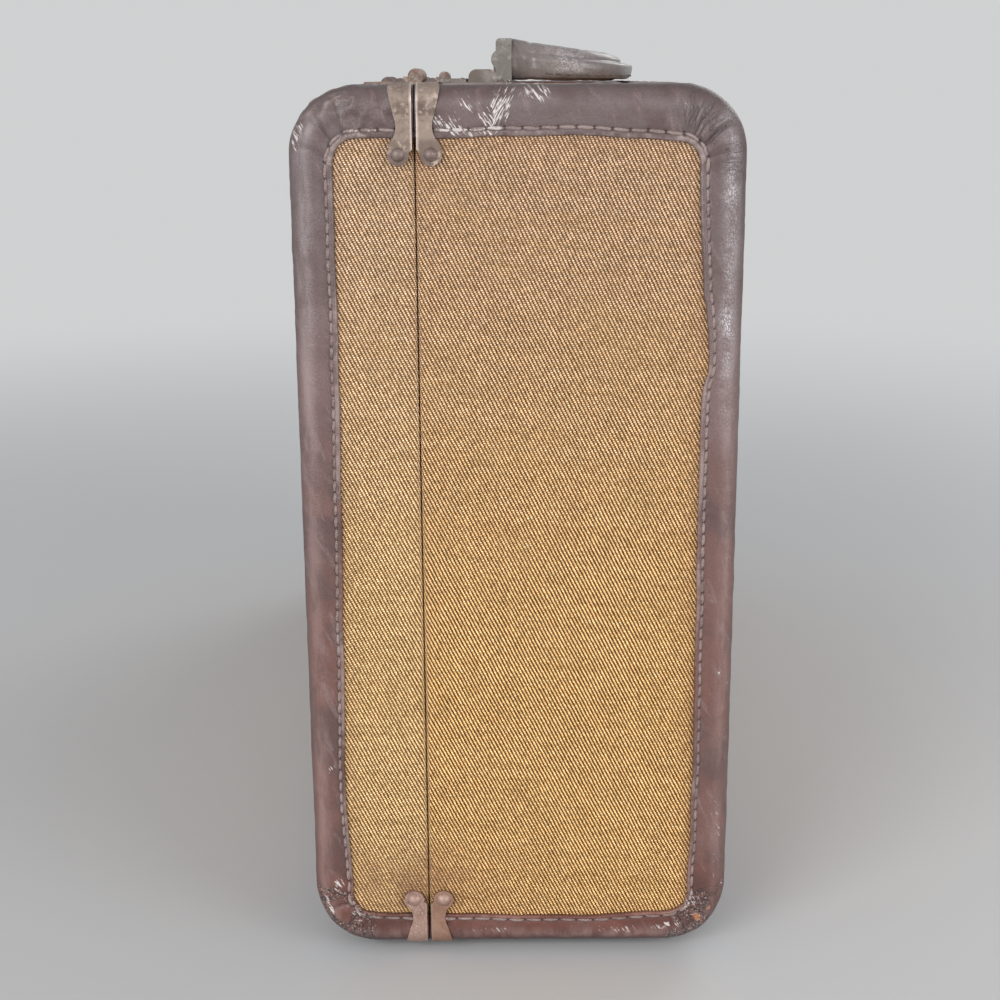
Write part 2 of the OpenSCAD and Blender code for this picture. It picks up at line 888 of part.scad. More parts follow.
function bow_angle(i) = 90 * (1 - cos(180 * i / bow_steps));
function power(v, e) = sign(v) * pow(abs(v), e);
function bow_at(a) = [bow_rise * power(sin(a), bow_e), -bow_half * power(cos(a), bow_e)];
function bow_from(i) = i == 0 ? [-1, -bow_half] : bow_at(bow_angle(i - 1));
function bow_to(i) = i == bow_steps ? [-1, bow_half] : bow_at(bow_angle(i + 1));
function bow_dir(i) = (bow_to(i) - bow_from(i)) / norm(bow_to(i) - bow_from(i));
function bow_mix(i) = bow_at(bow_angle(i))[0] / bow_rise;
function welted(k) = k >= bow_points - 4 || k == 0 ? 1 : 0;
function grip_a(i) = grip_a0 + (grip_a1 - grip_a0) * bow_mix(i);
function grip_b(i) = grip_b0 + (grip_b1 - grip_b0) * bow_mix(i);
function section_p(k, a, e) = a * power(cos(360 * k / bow_points), e);
function section_n(k, b, e) = b * power(sin(360 * k / bow_points), e);
function bow_point(i, p, n) = [
  pivot_x + cap_front + seat + bow_at(bow_angle(i))[0] + p * bow_dir(i)[1],
  bow_at(bow_angle(i))[1] - p * bow_dir(i)[0],
  pivot_z - grip_drop * bow_mix(i) + n
];
function skin_points() = [
  for (i = [0 : bow_steps], k = [0 : bow_points - 1])
    bow_point(i, section_p(k, grip_a(i), 0.7) + welted(k) * welt_w * bow_mix(i), section_n(k, grip_b(i), 0.7))
];
function core_points(gap) = [
  for (i = [0 : bow_steps], k = [0 : bow_points - 1])
    bow_point(i, section_p(k, core_a + gap, 0.5), section_n(k, core_b + gap, 0.5))
];
function at(i, k) = i * bow_points + (k % bow_points);
function tube_faces(base, out) = [
  for (i = [0 : bow_steps - 1], k = [0 : bow_points - 1])
    out ? [base + at(i, k), base + at(i, k + 1), base + at(i + 1, k + 1), base + at(i + 1, k)]
        : [base + at(i, k), base + at(i + 1, k), base + at(i + 1, k + 1), base + at(i, k + 1)]
];
function ring_faces(i, base, first) = [
  for (k = [0 : bow_points - 1])
    first ? [at(i, k), base + at(i, k), base + at(i, k + 1), at(i, k + 1)]
          : [at(i, k), at(i, k + 1), base + at(i, k + 1), base + at(i, k)]
];

module handle_grip() {
  inner = (bow_steps + 1) * bow_points;
  color("#4d3630") polyhedron(
    points = concat(skin_points(), core_points(core_gap)),
    faces = concat(
      tube_faces(0, true), tube_faces(inner, false), ring_faces(0, inner, true), ring_faces(bow_steps, inner, false)
    ),
    convexity = 8
  );
}

module handle_core() {
  color("#6d675c") polyhedron(
    points = core_points(0),
    faces = concat(
      tube_faces(0, true),
      [[for (k = [0 : bow_points - 1]) at(0, bow_points - 1 - k)], [for (k = [0 : bow_points - 1]) at(bow_steps, k)]]
    ),
    convexity = 8
  );
}

base_shell();
base_end_board(-1);  // base_end_board_near
base_end_board(1);  // base_end_board_far
base_face_cloth();
base_top_cloth();
base_bottom_cloth();
base_end_cloth(-1);  // base_end_cloth_near
base_end_cloth(1);  // base_end_cloth_far
base_end_binding(-1);  // base_end_binding_near
base_end_binding(1);  // base_end_binding_far
base_edge_binding_top();
base_edge_binding_bottom();
base_rim_clips();
base_clip_rivets();
base_lining();
valance();
packing_straps();
strap_buckles();
base_feet();
lid_shell();
lid_end_board(-1);  // lid_end_board_near
lid_end_board(1);  // lid_end_board_far
lid_face_cloth();
lid_top_cloth();
lid_bottom_cloth();
lid_end_cloth(-1);  // lid_end_cloth_near
lid_end_cloth(1);  // lid_end_cloth_far
lid_end_binding(-1);  // lid_end_binding_near
lid_end_binding(1);  // lid_end_binding_far
lid_edge_binding_top();
lid_edge_binding_bottom();
lid_rim_clips();
lid_clip_rivets();
lid_lining();
lid_pocket();
lid_feet();
base_hinge_leaves();
lid_hinge_leaves();
hinge_pins();
base_hinge_rivets();
lid_hinge_rivets();
latch_plate_near();
latch_plate_far();
latch_pins();
latch_rivets();
hasp_near();
hasp_far();
lock_body_near();
lock_body_far();
lock_bolt_near();
lock_bolt_far();
lock_rivets();
handle_post_near();
handle_post_far();
handle_rivets();
handle_pins();
handle_cap_near();
handle_cap_far();
handle_grip();
handle_core();
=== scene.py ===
import math

import bpy
import numpy as np
from mathutils import Matrix


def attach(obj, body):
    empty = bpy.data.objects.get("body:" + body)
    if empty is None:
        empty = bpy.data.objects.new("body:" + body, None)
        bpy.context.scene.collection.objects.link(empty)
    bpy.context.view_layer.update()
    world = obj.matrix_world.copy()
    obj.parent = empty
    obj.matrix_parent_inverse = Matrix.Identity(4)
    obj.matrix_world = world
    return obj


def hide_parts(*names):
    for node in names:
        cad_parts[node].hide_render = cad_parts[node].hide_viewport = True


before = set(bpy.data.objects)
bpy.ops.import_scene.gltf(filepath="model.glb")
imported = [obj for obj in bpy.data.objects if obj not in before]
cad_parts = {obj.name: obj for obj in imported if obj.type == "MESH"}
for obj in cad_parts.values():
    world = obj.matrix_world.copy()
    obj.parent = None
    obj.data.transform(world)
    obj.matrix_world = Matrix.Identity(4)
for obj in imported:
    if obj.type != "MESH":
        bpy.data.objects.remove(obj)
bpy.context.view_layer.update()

MM = 0.001
QUARTER = math.pi / 2  # a quarter turn

# Sizes shared with the CAD model, in millimetres
CASE_W, CASE_L, CASE_H = 168, 533, 343
Z0, Z1 = 5, 348
MID_Z = (Z0 + Z1) / 2
SPLIT_X, SEAM, SLIT_HALF = -37.5, 1, 0.22
CORNER_R = 25
LEATHER_T = 1.4
WRAP_W, EDGE_LEG = 18, 3
WINDOW = (-67.5, 66, 19.5, 327.5)
WINDOW_R = 8
CLOTH_TOP, CLOTH_BOTTOM = Z1 - LEATHER_T, Z0 + LEATHER_T
ROOM_IN = 8.4
PIVOT = (-5.9, 358.6)

# Sizes of the scene alone, in millimetres
STITCH_V, STITCH_PITCH = 5, 7
CLOTH_HALF_L = CASE_L / 2 - 6.1

# Words for the two halves, the two ends and the two levels in the names of pieces
BODY_OF = {-1: "lid", 1: "base"}
END_OF = {-1: "near", 1: "far"}
LEVEL_OF = {-1: "bottom", 1: "top"}


# Noise and small shaping functions

TABLES = {}
LATTICE = 128


def noise2(u, v, seed):
    """Smooth value noise from -1 to 1 on a repeating lattice."""
    if seed not in TABLES:
        TABLES[seed] = np.random.default_rng(seed).uniform(-1, 1, (LATTICE, LATTICE))
    t = TABLES[seed]
    u, v = np.broadcast_arrays(np.asarray(u, float), np.asarray(v, float))
    iu, iv = np.floor(u).astype(int), np.floor(v).astype(int)
    fu, fv = u - iu, v - iv
    fu, fv = fu * fu * (3 - 2 * fu), fv * fv * (3 - 2 * fv)
    iu, iv, ju, jv = (i % LATTICE for i in (iu, iv, iu + 1, iv + 1))
    low = t[iu, iv] * (1 - fu) + t[ju, iv] * fu
    high = t[iu, jv] * (1 - fu) + t[ju, jv] * fu
    return low * (1 - fv) + high * fv


def bell(x, width):
    """1 at 0, falling to nothing over a few widths."""
    return np.exp(-((x / width) ** 2))


def ease(x, a, b):
    """0 before a, 1 after b, smooth between."""
    t = np.clip((x - a) / (b - a), 0, 1)
    return t * t * (3 - 2 * t)


def arc_length(line):
    """Run along a line of points, from its first one."""
    return np.concatenate([[0], np.cumsum(np.linalg.norm(np.diff(line, axis=0), axis=1))])


def unit(v):
    return v / np.linalg.norm(v, axis=-1, keepdims=True)


def grid(a, b):
    return np.meshgrid(a, b, indexing="ij")


# Mesh building

def add_object(name, data):
    obj = bpy.data.objects.new(name, data)
    bpy.context.scene.collection.objects.link(obj)
    return obj


def add_mesh(name, verts, faces, material, uv=None, attrs=None, smooth=True):
    """A mesh object from points in millimetres; uv and attrs hold one row per point."""
    mesh = bpy.data.meshes.new(name)
    mesh.from_pydata((np.asarray(verts, float) * MM).tolist(), [], [list(map(int, f)) for f in faces])
    loops = np.zeros(len(mesh.loops), np.int32)
    mesh.loops.foreach_get("vertex_index", loops)
    if uv is not None:
        layer = mesh.uv_layers.new(name="UVMap")
        layer.data.foreach_set("uv", (np.asarray(uv, np.float32) * MM)[loops].ravel())
    for key, values in (attrs or {}).items():
        a = mesh.attributes.new(key, "FLOAT", "POINT")
        a.data.foreach_set("value", np.ascontiguousarray(values, np.float32))
    mesh.polygons.foreach_set("use_smooth", np.full(len(mesh.polygons), smooth))
    mesh.update()
    mesh.materials.append(material)
    return add_object(name, mesh)


def place(obj, body, slot, *nodes):
    """Puts a piece on its body, in place of CAD nodes if any are named; slot is not used."""
    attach(obj, body)
    if nodes:
        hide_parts(*nodes)


def thicken(obj, thickness):
    solid = obj.modifiers.new("thickness", "SOLIDIFY")
    solid.thickness, solid.offset = thickness * MM, -1


def grid_faces(n, m, close=False):
    """Quads of an n by m grid of points, row by row; close joins the last column to the first."""
    i, j = grid(np.arange(n - 1), np.arange(m if close else m - 1))
    k = (j + 1) % m
    return np.stack([i * m + j, (i + 1) * m + j, (i + 1) * m + k, i * m + k], -1).reshape(-1, 4)


def facing_quads(pts, out, at=0):
    """Quads of an (n, m, 3) grid, turned to the side out; column at of the first row decides."""
    quads = grid_faces(*pts.shape[:2])
    a = pts[0, at]
    turned = np.dot(np.cross(pts[1, at] - a, pts[0, at + 1] - a), out) < 0
    return quads[:, ::-1] if turned else quads


def tube_faces(n, m):
    """Faces of a closed solid of n rings with m points each, the two end caps last."""
    caps = [list(range(m - 1, -1, -1)), [(n - 1) * m + k for k in range(m)]]
    return grid_faces(n, m, close=True).tolist() + caps


def pushed(sec, nor, lift, yy):
    """A section of (x, z) points swept along Y and pushed by lift along its normals."""
    flat = sec + nor * lift[..., None]
    return np.stack([flat[..., 0], yy, flat[..., 1]], 2)


# Marks on the leather, among them painted highlights and painted shade
MARKS = ("wear", "scuff", "scratch", "bare", "shine", "crease", "crackle", "rim", "crown")


def leather_solid(name, points, uv, material, **marks):
    """A closed leather solid from an (n, m, 3) array of closed sections; a mark not given is 0."""
    n, m = points.shape[:2]
    verts, faces = points.reshape(-1, 3), tube_faces(n, m)
    a, b, c, d = (verts[np.array(faces[:-2])[:, k]] for k in range(4))
    if (a * np.cross(b, c)).sum() + (a * np.cross(c, d)).sum() < 0:
        faces = [f[::-1] for f in faces]
    attrs = {key: np.broadcast_to(marks.get(key, 0), (n, m)).ravel() for key in MARKS}
    return add_mesh(name, verts, faces, material, uv.reshape(-1, 2), attrs)


def normals_of(points, toward):
    """Unit normals of an (n, m, 3) grid, on the side that toward points to."""
    n = np.cross(np.gradient(points, axis=0), np.gradient(points, axis=1))
    n /= np.linalg.norm(n, axis=2, keepdims=True) + 1e-9
    return n * np.sign((n * toward).sum(2, keepdims=True) + 1e-9)


def join_parts(parts):
    """One list of points and one of faces from several."""
    verts, faces, base = [], [], 0
    for v, f in parts:
        verts.append(v)
        faces += [[base + k for k in q] for q in f]
        base += len(v)
    return np.concatenate(verts), faces


def threads(line, normal, pitch, length, radius, rise, seed, keep=None, s=None):
    """Points and faces of a row of sewing stitches along a line that lies on a surface."""
    s = arc_length(line) if s is None else s
    rng = np.random.default_rng(seed)
    rings = sides = 7
    f = np.linspace(0, 1, rings)
    arch = np.sin(math.pi * f) ** 0.6
    angle = np.linspace(0, 2 * math.pi, sides, endpoint=False)[None, :, None]
    faces = [face[::-1] for face in tube_faces(rings, sides)]
    parts = []

    def on_line(rows, at):
        return np.stack([np.interp(at, s, rows[:, k]) for k in range(3)], -1)

    for q in range(int((s[-1] - length) // pitch) + 1):
        a = q * pitch + 0.5 * (pitch - length)
        if keep is not None and not keep(on_line(line, a + length / 2)):
            continue
        at = a + np.linspace(0, length, rings)
        p, nn = on_line(line, at), unit(on_line(normal, at))
        lift = (arch * rise * rng.uniform(0.75, 1.15) - 0.45 * radius)[:, None]
        w = np.cross(unit(np.gradient(p, axis=0)), nn)
        slant = (f - 0.5)[:, None] * rng.uniform(0.1, 0.5)
        p = p + nn * lift + w * slant
        r = (radius * (0.6 + 0.4 * arch) * rng.uniform(0.9, 1.1))[:, None, None]
        ring = p[:, None] + r * (np.cos(angle) * w[:, None] + 0.8 * np.sin(angle) * nn[:, None])
        parts.append((ring.reshape(-1, 3), faces))
    return join_parts(parts)


# Node materials

def sign(op, swapped=False):
    """A sign between Values and numbers, which makes a Math node."""
    return lambda a, b=0: a.look.math(op, *((b, a) if swapped else (a, b)))


class Value:
    """A node's output, so that sums of outputs and numbers can be written with signs."""

    def __init__(self, look, socket):
        self.look, self.socket = look, socket

    __add__, __radd__ = sign("ADD"), sign("ADD", True)
    __sub__, __rsub__ = sign("SUBTRACT"), sign("SUBTRACT", True)
    __mul__, __truediv__, __abs__ = sign("MULTIPLY"), sign("DIVIDE"), sign("ABSOLUTE")


class Nodes:
    """A node tree with its output; an input may be a number, a colour or a Value."""

    def __init__(self, owner, kind):
        owner.use_nodes = True
        self.tree = owner.node_tree
        self.tree.nodes.clear()
        self.end = self.tree.nodes.new("ShaderNodeOutput" + kind).inputs["Surface"]

    def put(self, socket, value):
        if isinstance(value, Value):
            self.tree.links.new(value.socket, socket)
        else:
            socket.default_value = (*value, 1) if socket.type == "RGBA" else value

    def node(self, kind, inputs, out=0, **props):
        n = self.tree.nodes.new("ShaderNode" + kind)
        for key, value in props.items():
            setattr(n, key, value)
        for key, value in inputs.items():
            self.put(n.inputs[key], value)
        return Value(self, n.outputs[out])


class Look(Nodes):
    """A Principled material, its colour painted in layers."""

    def __init__(self, name, **fixed):
        self.mat = bpy.data.materials.new(name)
        super().__init__(self.mat, "Material")
        self.bsdf = self.tree.nodes.new("ShaderNodeBsdfPrincipled")
        self.surface = Value(self, self.bsdf.outputs[0])
        self.put(self.end, self.surface)
        for key, value in fixed.items():
            self.set(key.replace("_", " "), value)

    def set(self, key, value):
        self.put(self.bsdf.inputs[key], value)

    def math(self, op, a, b=0, c=0):
        return self.node("Math", {0: a, 1: b, 2: c}, operation=op)

    def step(self, value, low, high, to_low=0, to_high=1):
        inputs = {0: value, 1: low, 2: high, 3: to_low, 4: to_high}
        return self.node("MapRange", inputs, interpolation_type="SMOOTHSTEP")

    def mix(self, fac, a, b, blend="MIX"):
        return self.node("Mix", {0: fac, 6: a, 7: b}, 2, data_type="RGBA", blend_type=blend)

    def lerp(self, fac, a, b):
        return self.node("Mix", {0: fac, 2: a, 3: b}, data_type="FLOAT")

    def lay(self, fac, colour, blend="MIX"):
        """Paints over the colour that the material has so far."""
        self.colour = self.mix(fac, self.colour, colour, blend)

    def coords(self, kind="Object"):
        return self.node("TexCoord", {}, kind)

    def split(self, vector):
        n = self.tree.nodes.new("ShaderNodeSeparateXYZ")
        self.put(n.inputs[0], vector)
        return [Value(self, out) for out in n.outputs]

    def join(self, x, y, z=0):
        return self.node("CombineXYZ", {0: x, 1: y, 2: z})

    def noise(self, vector, scale, detail=3, rough=0.55, warp=0):
        inputs = {"Vector": vector, "Scale": scale, "Detail": detail, "Roughness": rough, "Distortion": warp}
        return self.node("TexNoise", inputs)

    def cells(self, vector, scale, feature="DISTANCE_TO_EDGE"):
        return self.node("TexVoronoi", {"Vector": vector, "Scale": scale}, "Distance", feature=feature)

    def vector(self, op, a, b):
        return self.node("VectorMath", {0: a, "Scale" if op == "SCALE" else 1: b}, operation=op)

    def wander(self, vector, scale, amount):
        """The vector pushed about by a colour noise, for lines that wander."""
        push = self.node("TexNoise", {"Vector": vector, "Scale": scale, "Detail": 2}, "Color")
        off = self.vector("SUBTRACT", push, (0.5, 0.5, 0.5))
        return self.vector("ADD", vector, self.vector("SCALE", off, amount))

    def chance(self, vector):
        return self.node("TexWhiteNoise", {"Vector": vector})

    def stretch(self, vector, scale, turn=0):
        """The vector turned about Y, then scaled along each axis."""
        turned = self.node("VectorRotate", {"Vector": vector, "Rotation": (0, turn, 0)}, rotation_type="EULER_XYZ")
        return self.vector("MULTIPLY", turned, scale)

    def attr(self, name):
        return self.node("Attribute", {}, "Fac", attribute_name=name)

    def finish(self, height, strength, distance):
        """Sets the painted colour and the relief."""
        self.set("Base Color", self.colour)
        self.set("Normal", self.node("Bump", {"Height": height, "Strength": strength, "Distance": distance}))
        return self.mat


# Dark of open cracks in the leather
CRACK = (0.035, 0.022, 0.02)


def twill(name):
    """Twill tweed: light floats stepped over brown ends, one end a pick, on UVs in metres."""
    end, pick, skew = 0.000374, 0.000716, 0.064
    k = Look(name, Roughness=0.9, Specular_IOR_Level=0.02)
    uv = k.coords("UV")
    u, v, _ = k.split(uv)
    v = v + u * skew
    u = u + (k.noise(uv, 60, 2) - 0.5) * 0.0009 + (k.noise(uv, 900, 2) - 0.5) * 0.0006
    row = k.math("FLOOR", v / pick)
    s = (u / end + row) / 4
    rib = k.math("COSINE", (k.math("FRACT", s) - 0.31) * (2 * math.pi))
    light = k.step(rib, -0.4, 0.4)
    bead = k.math("SINE", k.math("FRACT", v / pick) * math.pi)
    thread = k.chance(k.join(row, k.math("FLOOR", s)))
    pickv = k.chance(k.join(row, 7))
    slub = k.step(k.noise(k.stretch(uv, (160, 700, 1)), 1, 1), 0.72, 0.8)
    # Painted light: the ramp attribute takes the cloth from warm golden tones, lit warm from below, to cooler pinker
    # ones, lit from above
    fade, pale = k.attr("fade"), k.attr("pale")
    cream = k.mix(fade, (0.96, 0.61, 0.255), (0.615, 0.425, 0.305))
    cream = k.mix(pale * 0.5, cream, k.mix(fade, (0.99, 0.75, 0.43), (0.76, 0.58, 0.44)))
    brown = k.mix(fade, (0.12, 0.03, 0), (0.155, 0.074, 0.03))
    brown = k.mix(pale * 0.5, brown, (0.17, 0.085, 0.03))
    tint = k.mix(thread * 0.35, cream, k.mix(fade, (0.97, 0.75, 0.44), (0.82, 0.64, 0.48)))
    tint = k.mix(pickv * 0.3, tint, (0.6, 0.36, 0.13))
    tint = k.mix(slub * 0.6, tint, (0.9, 0.76, 0.5))
    k.colour = k.mix(light, brown, tint)
    k.lay(k.step(k.noise(uv, 22, 4), 0.4, 0.75, 0, 0.16), (0.36, 0.21, 0.075))
    # Soil stains, and painted shade along the leather edges and the slit, where the attribute says
    soil = k.attr("soil") * k.step(k.noise(uv, 140, 4), 0.3, 0.7, 0.35, 1)
    k.lay(soil, (0.25, 0.122, 0.074))
    spun = k.chance(k.join(row, k.math("FLOOR", s * 2), 3))
    # Painted shade over the round of each float, darker between floats, times random tone per half float; bars and
    # clouds of random tone follow
    shade = (0.34 + bead * 0.88) * (0.74 + spun * 0.52)
    bars = k.noise(k.stretch(uv, (16, 330, 1)), 1, 3, 0.6)
    cloudy = k.noise(uv, 75, 4, 0.6)
    shade = shade * (k.step(bars, 0.25, 0.75, 0.955, 1.045) * k.step(cloudy, 0.25, 0.75, 0.945, 1.055))
    k.lay(1, k.node("CombineColor", {0: shade, 1: shade, 2: shade}), "MULTIPLY")
    height = light * bead + k.noise(uv, 2600, 2) * 0.3
    return k.finish(height, 0.55, 0.00035)


def leather(name, low, high, dusty, dark, gloss=0.36, holes=True, coat=0, relief=0.55):
    """Old hide: warmer towards the floor, mottled, grained, cracked and scuffed where the attributes say."""
    k = Look(name, Specular_IOR_Level=0.5, Coat_Weight=coat, Coat_Roughness=0.2)
    p, uv = k.coords(), k.coords("UV")
    side_x, _, height_up = k.split(p)
    upper = k.step(height_up, 0.12, 0.33)
    mottle = k.noise(p, 34, 6, 0.62, 0.6)
    fine = k.noise(p, 420, 4, 0.6)
    k.colour = k.mix(k.step(mottle, 0.36, 0.58, 0.75, 0), k.mix(upper, low, high), dark)
    k.lay(k.step(k.noise(p, 13, 4, 0.6), 0.5, 0.72, 0, 0.45), dusty)
    smear = k.noise(k.stretch(p, (210, 90, 48), math.radians(24)), 1, 5, 0.68, 0.5)
    k.lay(k.step(smear, 0.54, 0.66, 0, 0.5), dusty)
    k.lay(fine * 0.15, dusty)
    grain = k.step(k.cells(p, 900), 0, 0.22)
    k.lay((1 - grain) * 0.3, dark)
    rub = k.step(k.noise(p, 240, 6, 0.7) * 0.9 + k.attr("wear") * 0.75, 0.78, 1.1)
    k.lay(rub * 0.6, (0.37, 0.285, 0.265))
    # Painted shade near the floor: darker and redder over the lowest 6 cm, darker again on the lowest bend, which
    # faces the floor
    k.lay(k.step(height_up, 0.06, 0.012, 0, 0.95), (0.88, 0.58, 0.5), "MULTIPLY")
    k.lay(k.step(height_up, 0.0125, 0.0065, 0, 0.9), (0.52, 0.42, 0.4), "MULTIPLY")
    # Painted highlight: a pale cracked patch where the attribute says; the same attribute makes the leather glossier
    shine = k.attr("shine")
    cracks = k.step(k.cells(k.stretch(k.wander(p, 300, 0.0016), (1, 1, 0.55)), 1050), 0, 0.16)
    bloom = shine * ((0.12 + cracks * 0.88) * k.step(k.noise(p, 150, 5, 0.65), 0.38, 0.6, 0.2, 1))
    k.lay(bloom * 0.85, (0.55, 0.51, 0.52))
    # Painted light: a paler band where the attribute says, down the bend of the end bindings and on the handle's
    # lower front
    crown = k.attr("crown") * k.step(k.noise(k.stretch(p, (190, 190, 40)), 1, 5, 0.68),
                                     0.36, 0.62, 0.25, 1)
    k.lay(crown * 0.62, k.mix(upper, (0.33, 0.215, 0.195), (0.36, 0.3, 0.305)))
    crackle = k.attr("crackle")
    fan = k.noise(k.stretch(k.wander(uv, 260, 0.0016), (820, 95, 1)), 1, 2, 0.5)
    split = k.step(abs(fan - 0.5), 0.05, 0.012) * k.step(crackle, 0.12, 0.6)
    k.lay(split * 0.85, CRACK)
    # Painted shade in folds, seams and along cut edges, where the attribute says
    k.lay(k.attr("crease") * 0.75, (0.04, 0.027, 0.025))
    streak_a = k.noise(k.stretch(p, (2600, 40, 260), math.radians(-30)), 1, 3, 0.6)
    streak_b = k.noise(k.stretch(p, (1500, 40, 240), math.radians(35)), 1, 3, 0.6)
    fleck = k.noise(p, 520, 4, 0.65)
    speck = k.noise(p, 1300, 3, 0.6)
    middle = k.step(abs(side_x + 0.0035), 0.0062, 0.005)
    lift = fleck * 0.3 + k.lerp(middle, streak_b, streak_a)
    scuff = k.step(k.attr("scuff") * 0.3 + lift, 0.95, 1.06)
    lines = k.step(k.attr("scratch") * 0.3 + (streak_b * 0.7 + fleck * 0.2), 0.765, 0.86)
    broken = k.step(crackle, 0.25, 0.7) * k.step(height_up, 0.09, 0.06)
    chips = k.step(speck + crackle * 0.05, 0.6, 0.7) * broken
    k.lay(k.step(speck, 0.46, 0.36) * broken * 0.75, CRACK)
    raw = k.math("MAXIMUM", k.math("MAXIMUM", scuff, lines), chips * 0.55)
    k.lay(raw * 0.86, (0.7, 0.645, 0.62))
    tan = k.step(k.attr("bare") * 0.45 + (fleck * 0.6 + speck * 0.5), 0.86, 0.97)
    k.lay(tan * 0.9, k.mix(k.step(speck, 0.42, 0.6), (0.36, 0.1, 0.04), (0.55, 0.3, 0.16)))
    # Painted shade along the outer edge of the bend, where the attribute says
    k.lay(k.attr("rim") * 0.7, k.mix(0.5, dark, (0.03, 0.02, 0.019)))
    if holes:
        u, v, _ = k.split(uv)
        du = (k.math("FRACT", u / (STITCH_PITCH * MM) + 0.5) - 0.5) * STITCH_PITCH
        dv = (v - STITCH_V * MM) * 1000
        pit = k.step(k.math("SQRT", du * du + dv * dv * 0.6), 0.8, 0.4)
        # Painted shade in the stitch holes
        k.lay(pit * 0.7, (0.04, 0.028, 0.026))
    k.set("Roughness", k.noise(p, 90, 4) * 0.26 + (gloss - 0.1) + raw * 0.25 - shine * 0.14)
    height = grain * 0.25 + fine * 0.4 + cracks * 1.3 * (0.08 + shine)
    height = height - (raw * 0.4 + split * 2) + mottle * 2.2
    if holes:
        height = height - pit * 2
    return k.finish(height, relief, 0.0003)


def aged_metal(name, worn, tarnish, brown, rough=0.42, slit=False, grey_from=None, foot=None):
    """Tarnished sheet metal with brown patches, small pits and rubbed high spots."""
    k = Look(name)
    p = k.coords()
    x, _, z = k.split(p)
    slit_x, rivet_z = SPLIT_X * MM, 0.3225
    big = k.noise(p, 70, 5, 0.65, 0.5)
    small = k.noise(p, 480, 5, 0.7)
    k.colour = k.mix(k.step(big, 0.4, 0.6), tarnish, brown)
    rub = k.step(small * 0.55 + k.noise(p, 150, 3) * 0.45, 0.5, 0.68)
    if slit:
        near = abs(x - slit_x)
        # Brighter metal within 2.6 mm of the slit: wear on the folded edges, with a painted highlight where they turn
        # into the slit
        rub = k.math("MAXIMUM", rub * 0.8, k.step(near + small * 0.0012, 0.0026, 0.0014))
        k.lay(k.step(abs(z - rivet_z), 0.0075, 0.005, 0, 0.65), brown)
    k.lay(rub * 0.8, worn)
    if foot is not None:
        low = k.step(z, 0.06, 0.03)
        k.lay(low * 0.5, foot)
        if slit:
            lid_side = k.step(x, slit_x + 0.0005, slit_x - 0.0005)
            k.lay(low * k.lerp(lid_side, 1, 0), (0.9, 0.83, 0.74), "MULTIPLY")
            bits = k.step(k.noise(p, 1500, 3, 0.7), 0.54, 0.7)
            k.lay(low * bits * k.lerp(lid_side, 0.1, 0.6), (0.9, 0.8, 0.76))
    if grey_from is not None:
        grey = k.mix(rub, (0.2, 0.18, 0.165), (0.42, 0.39, 0.36))
        k.lay(k.step(x, grey_from, grey_from + 0.003, 0, 0.8), grey)
    if slit:
        # Painted shade: darker where the AO node finds the metal hemmed in, round the rivets and in the clips' folds
        hidden = k.node("AmbientOcclusion", {"Distance": 0.005}, "AO", samples=6)
        grime = k.step(hidden + (small - 0.5) * 0.5, 0.86, 0.45)
        k.lay(grime * 0.9, (0.06, 0.04, 0.034))
        # Painted highlight: a near-white line along the clips' folded edges at the slit, strongest on the top clips
        edge = k.step(near + small * 0.0006, 0.0015, 0.0011) * k.step(z, 0.3, 0.31, 0.45, 1)
        k.lay(edge * 0.85, (0.92, 0.84, 0.78))
    dots = k.step(k.cells(p, 380, "F1"), 0.16, 0.08)
    k.lay(dots * 0.5, (0.06, 0.045, 0.035))
    k.set("Metallic", k.lerp(rub, 0.55, 0.92))
    k.set("Roughness", small * 0.3 + k.lerp(rub, rough, rough - 0.16))
    scratch = k.noise(k.stretch(p, (3000, 300, 300), 0.6), 1, 2)
    return k.finish(small * 0.6 + scratch * 0.25 + dots * -0.5, 0.35, 0.0003)


def woven(name, a, b, pitch, stripe=None):
    """Plain weave of two thread colours on UVs in metres, with stripes if a colour is given."""
    k = Look(name, Roughness=0.85, Specular_IOR_Level=0.2, Sheen_Weight=0.15)
    uv = k.coords("UV")
    u, v, _ = k.split(uv)
    wu, wv = u / pitch, v / pitch
    end, pick = k.math("FLOOR", wu), k.math("FLOOR", wv)
    check = k.math("MODULO", abs(end + pick), 2)
    over = k.lerp(check, *(k.math("SINE", k.math("FRACT", w) * math.pi) for w in (wu, wv)))
    tone = k.chance(k.join(end, pick))
    k.colour = k.mix(check * 0.55 + tone * 0.4, a, b)
    if stripe is not None:
        band = k.math("FRACT", u / 0.024)
        k.lay(k.step(abs(band - 0.5), 0.07, 0.05) * 0.65, stripe)
    k.lay(k.step(k.noise(uv, 14, 5), 0.45, 0.8, 0, 0.35), (0.3, 0.2, 0.11))
    return k.finish(over + k.noise(uv, 900, 3) * 0.5, 0.4, 0.0003)


def fibre_board(name, a, b):
    """Pressed board of two tones in layers."""
    k = Look(name, Roughness=0.8, Specular_IOR_Level=0.25)
    p = k.coords()
    layers = k.noise(k.stretch(p, (700, 25, 700)), 1, 4)
    speck = k.noise(p, 700, 4)
    k.colour = k.mix(layers * 0.6 + speck * 0.4, a, b)
    return k.finish(layers + speck, 0.4, 0.0003)


def sewing_thread(name, a, b):
    """Waxed thread of two tones, chalky where it is scuffed."""
    k = Look(name, Roughness=0.75, Specular_IOR_Level=0.25)
    p = k.coords()
    ply = k.noise(k.stretch(p, (1500, 1500, 1500)), 1, 2)
    old = k.noise(p, 55, 3)
    cord = k.mix(k.step(ply * 0.5 + old * 0.5, 0.36, 0.64), a, b)
    chalk = k.step(k.attr("scuff") * 0.45 + k.noise(p, 700, 3), 0.76, 0.9)
    k.colour = k.mix(chalk * 0.8, cord, (0.62, 0.57, 0.54))
    return k.finish(ply, 0.6, 0.0002)


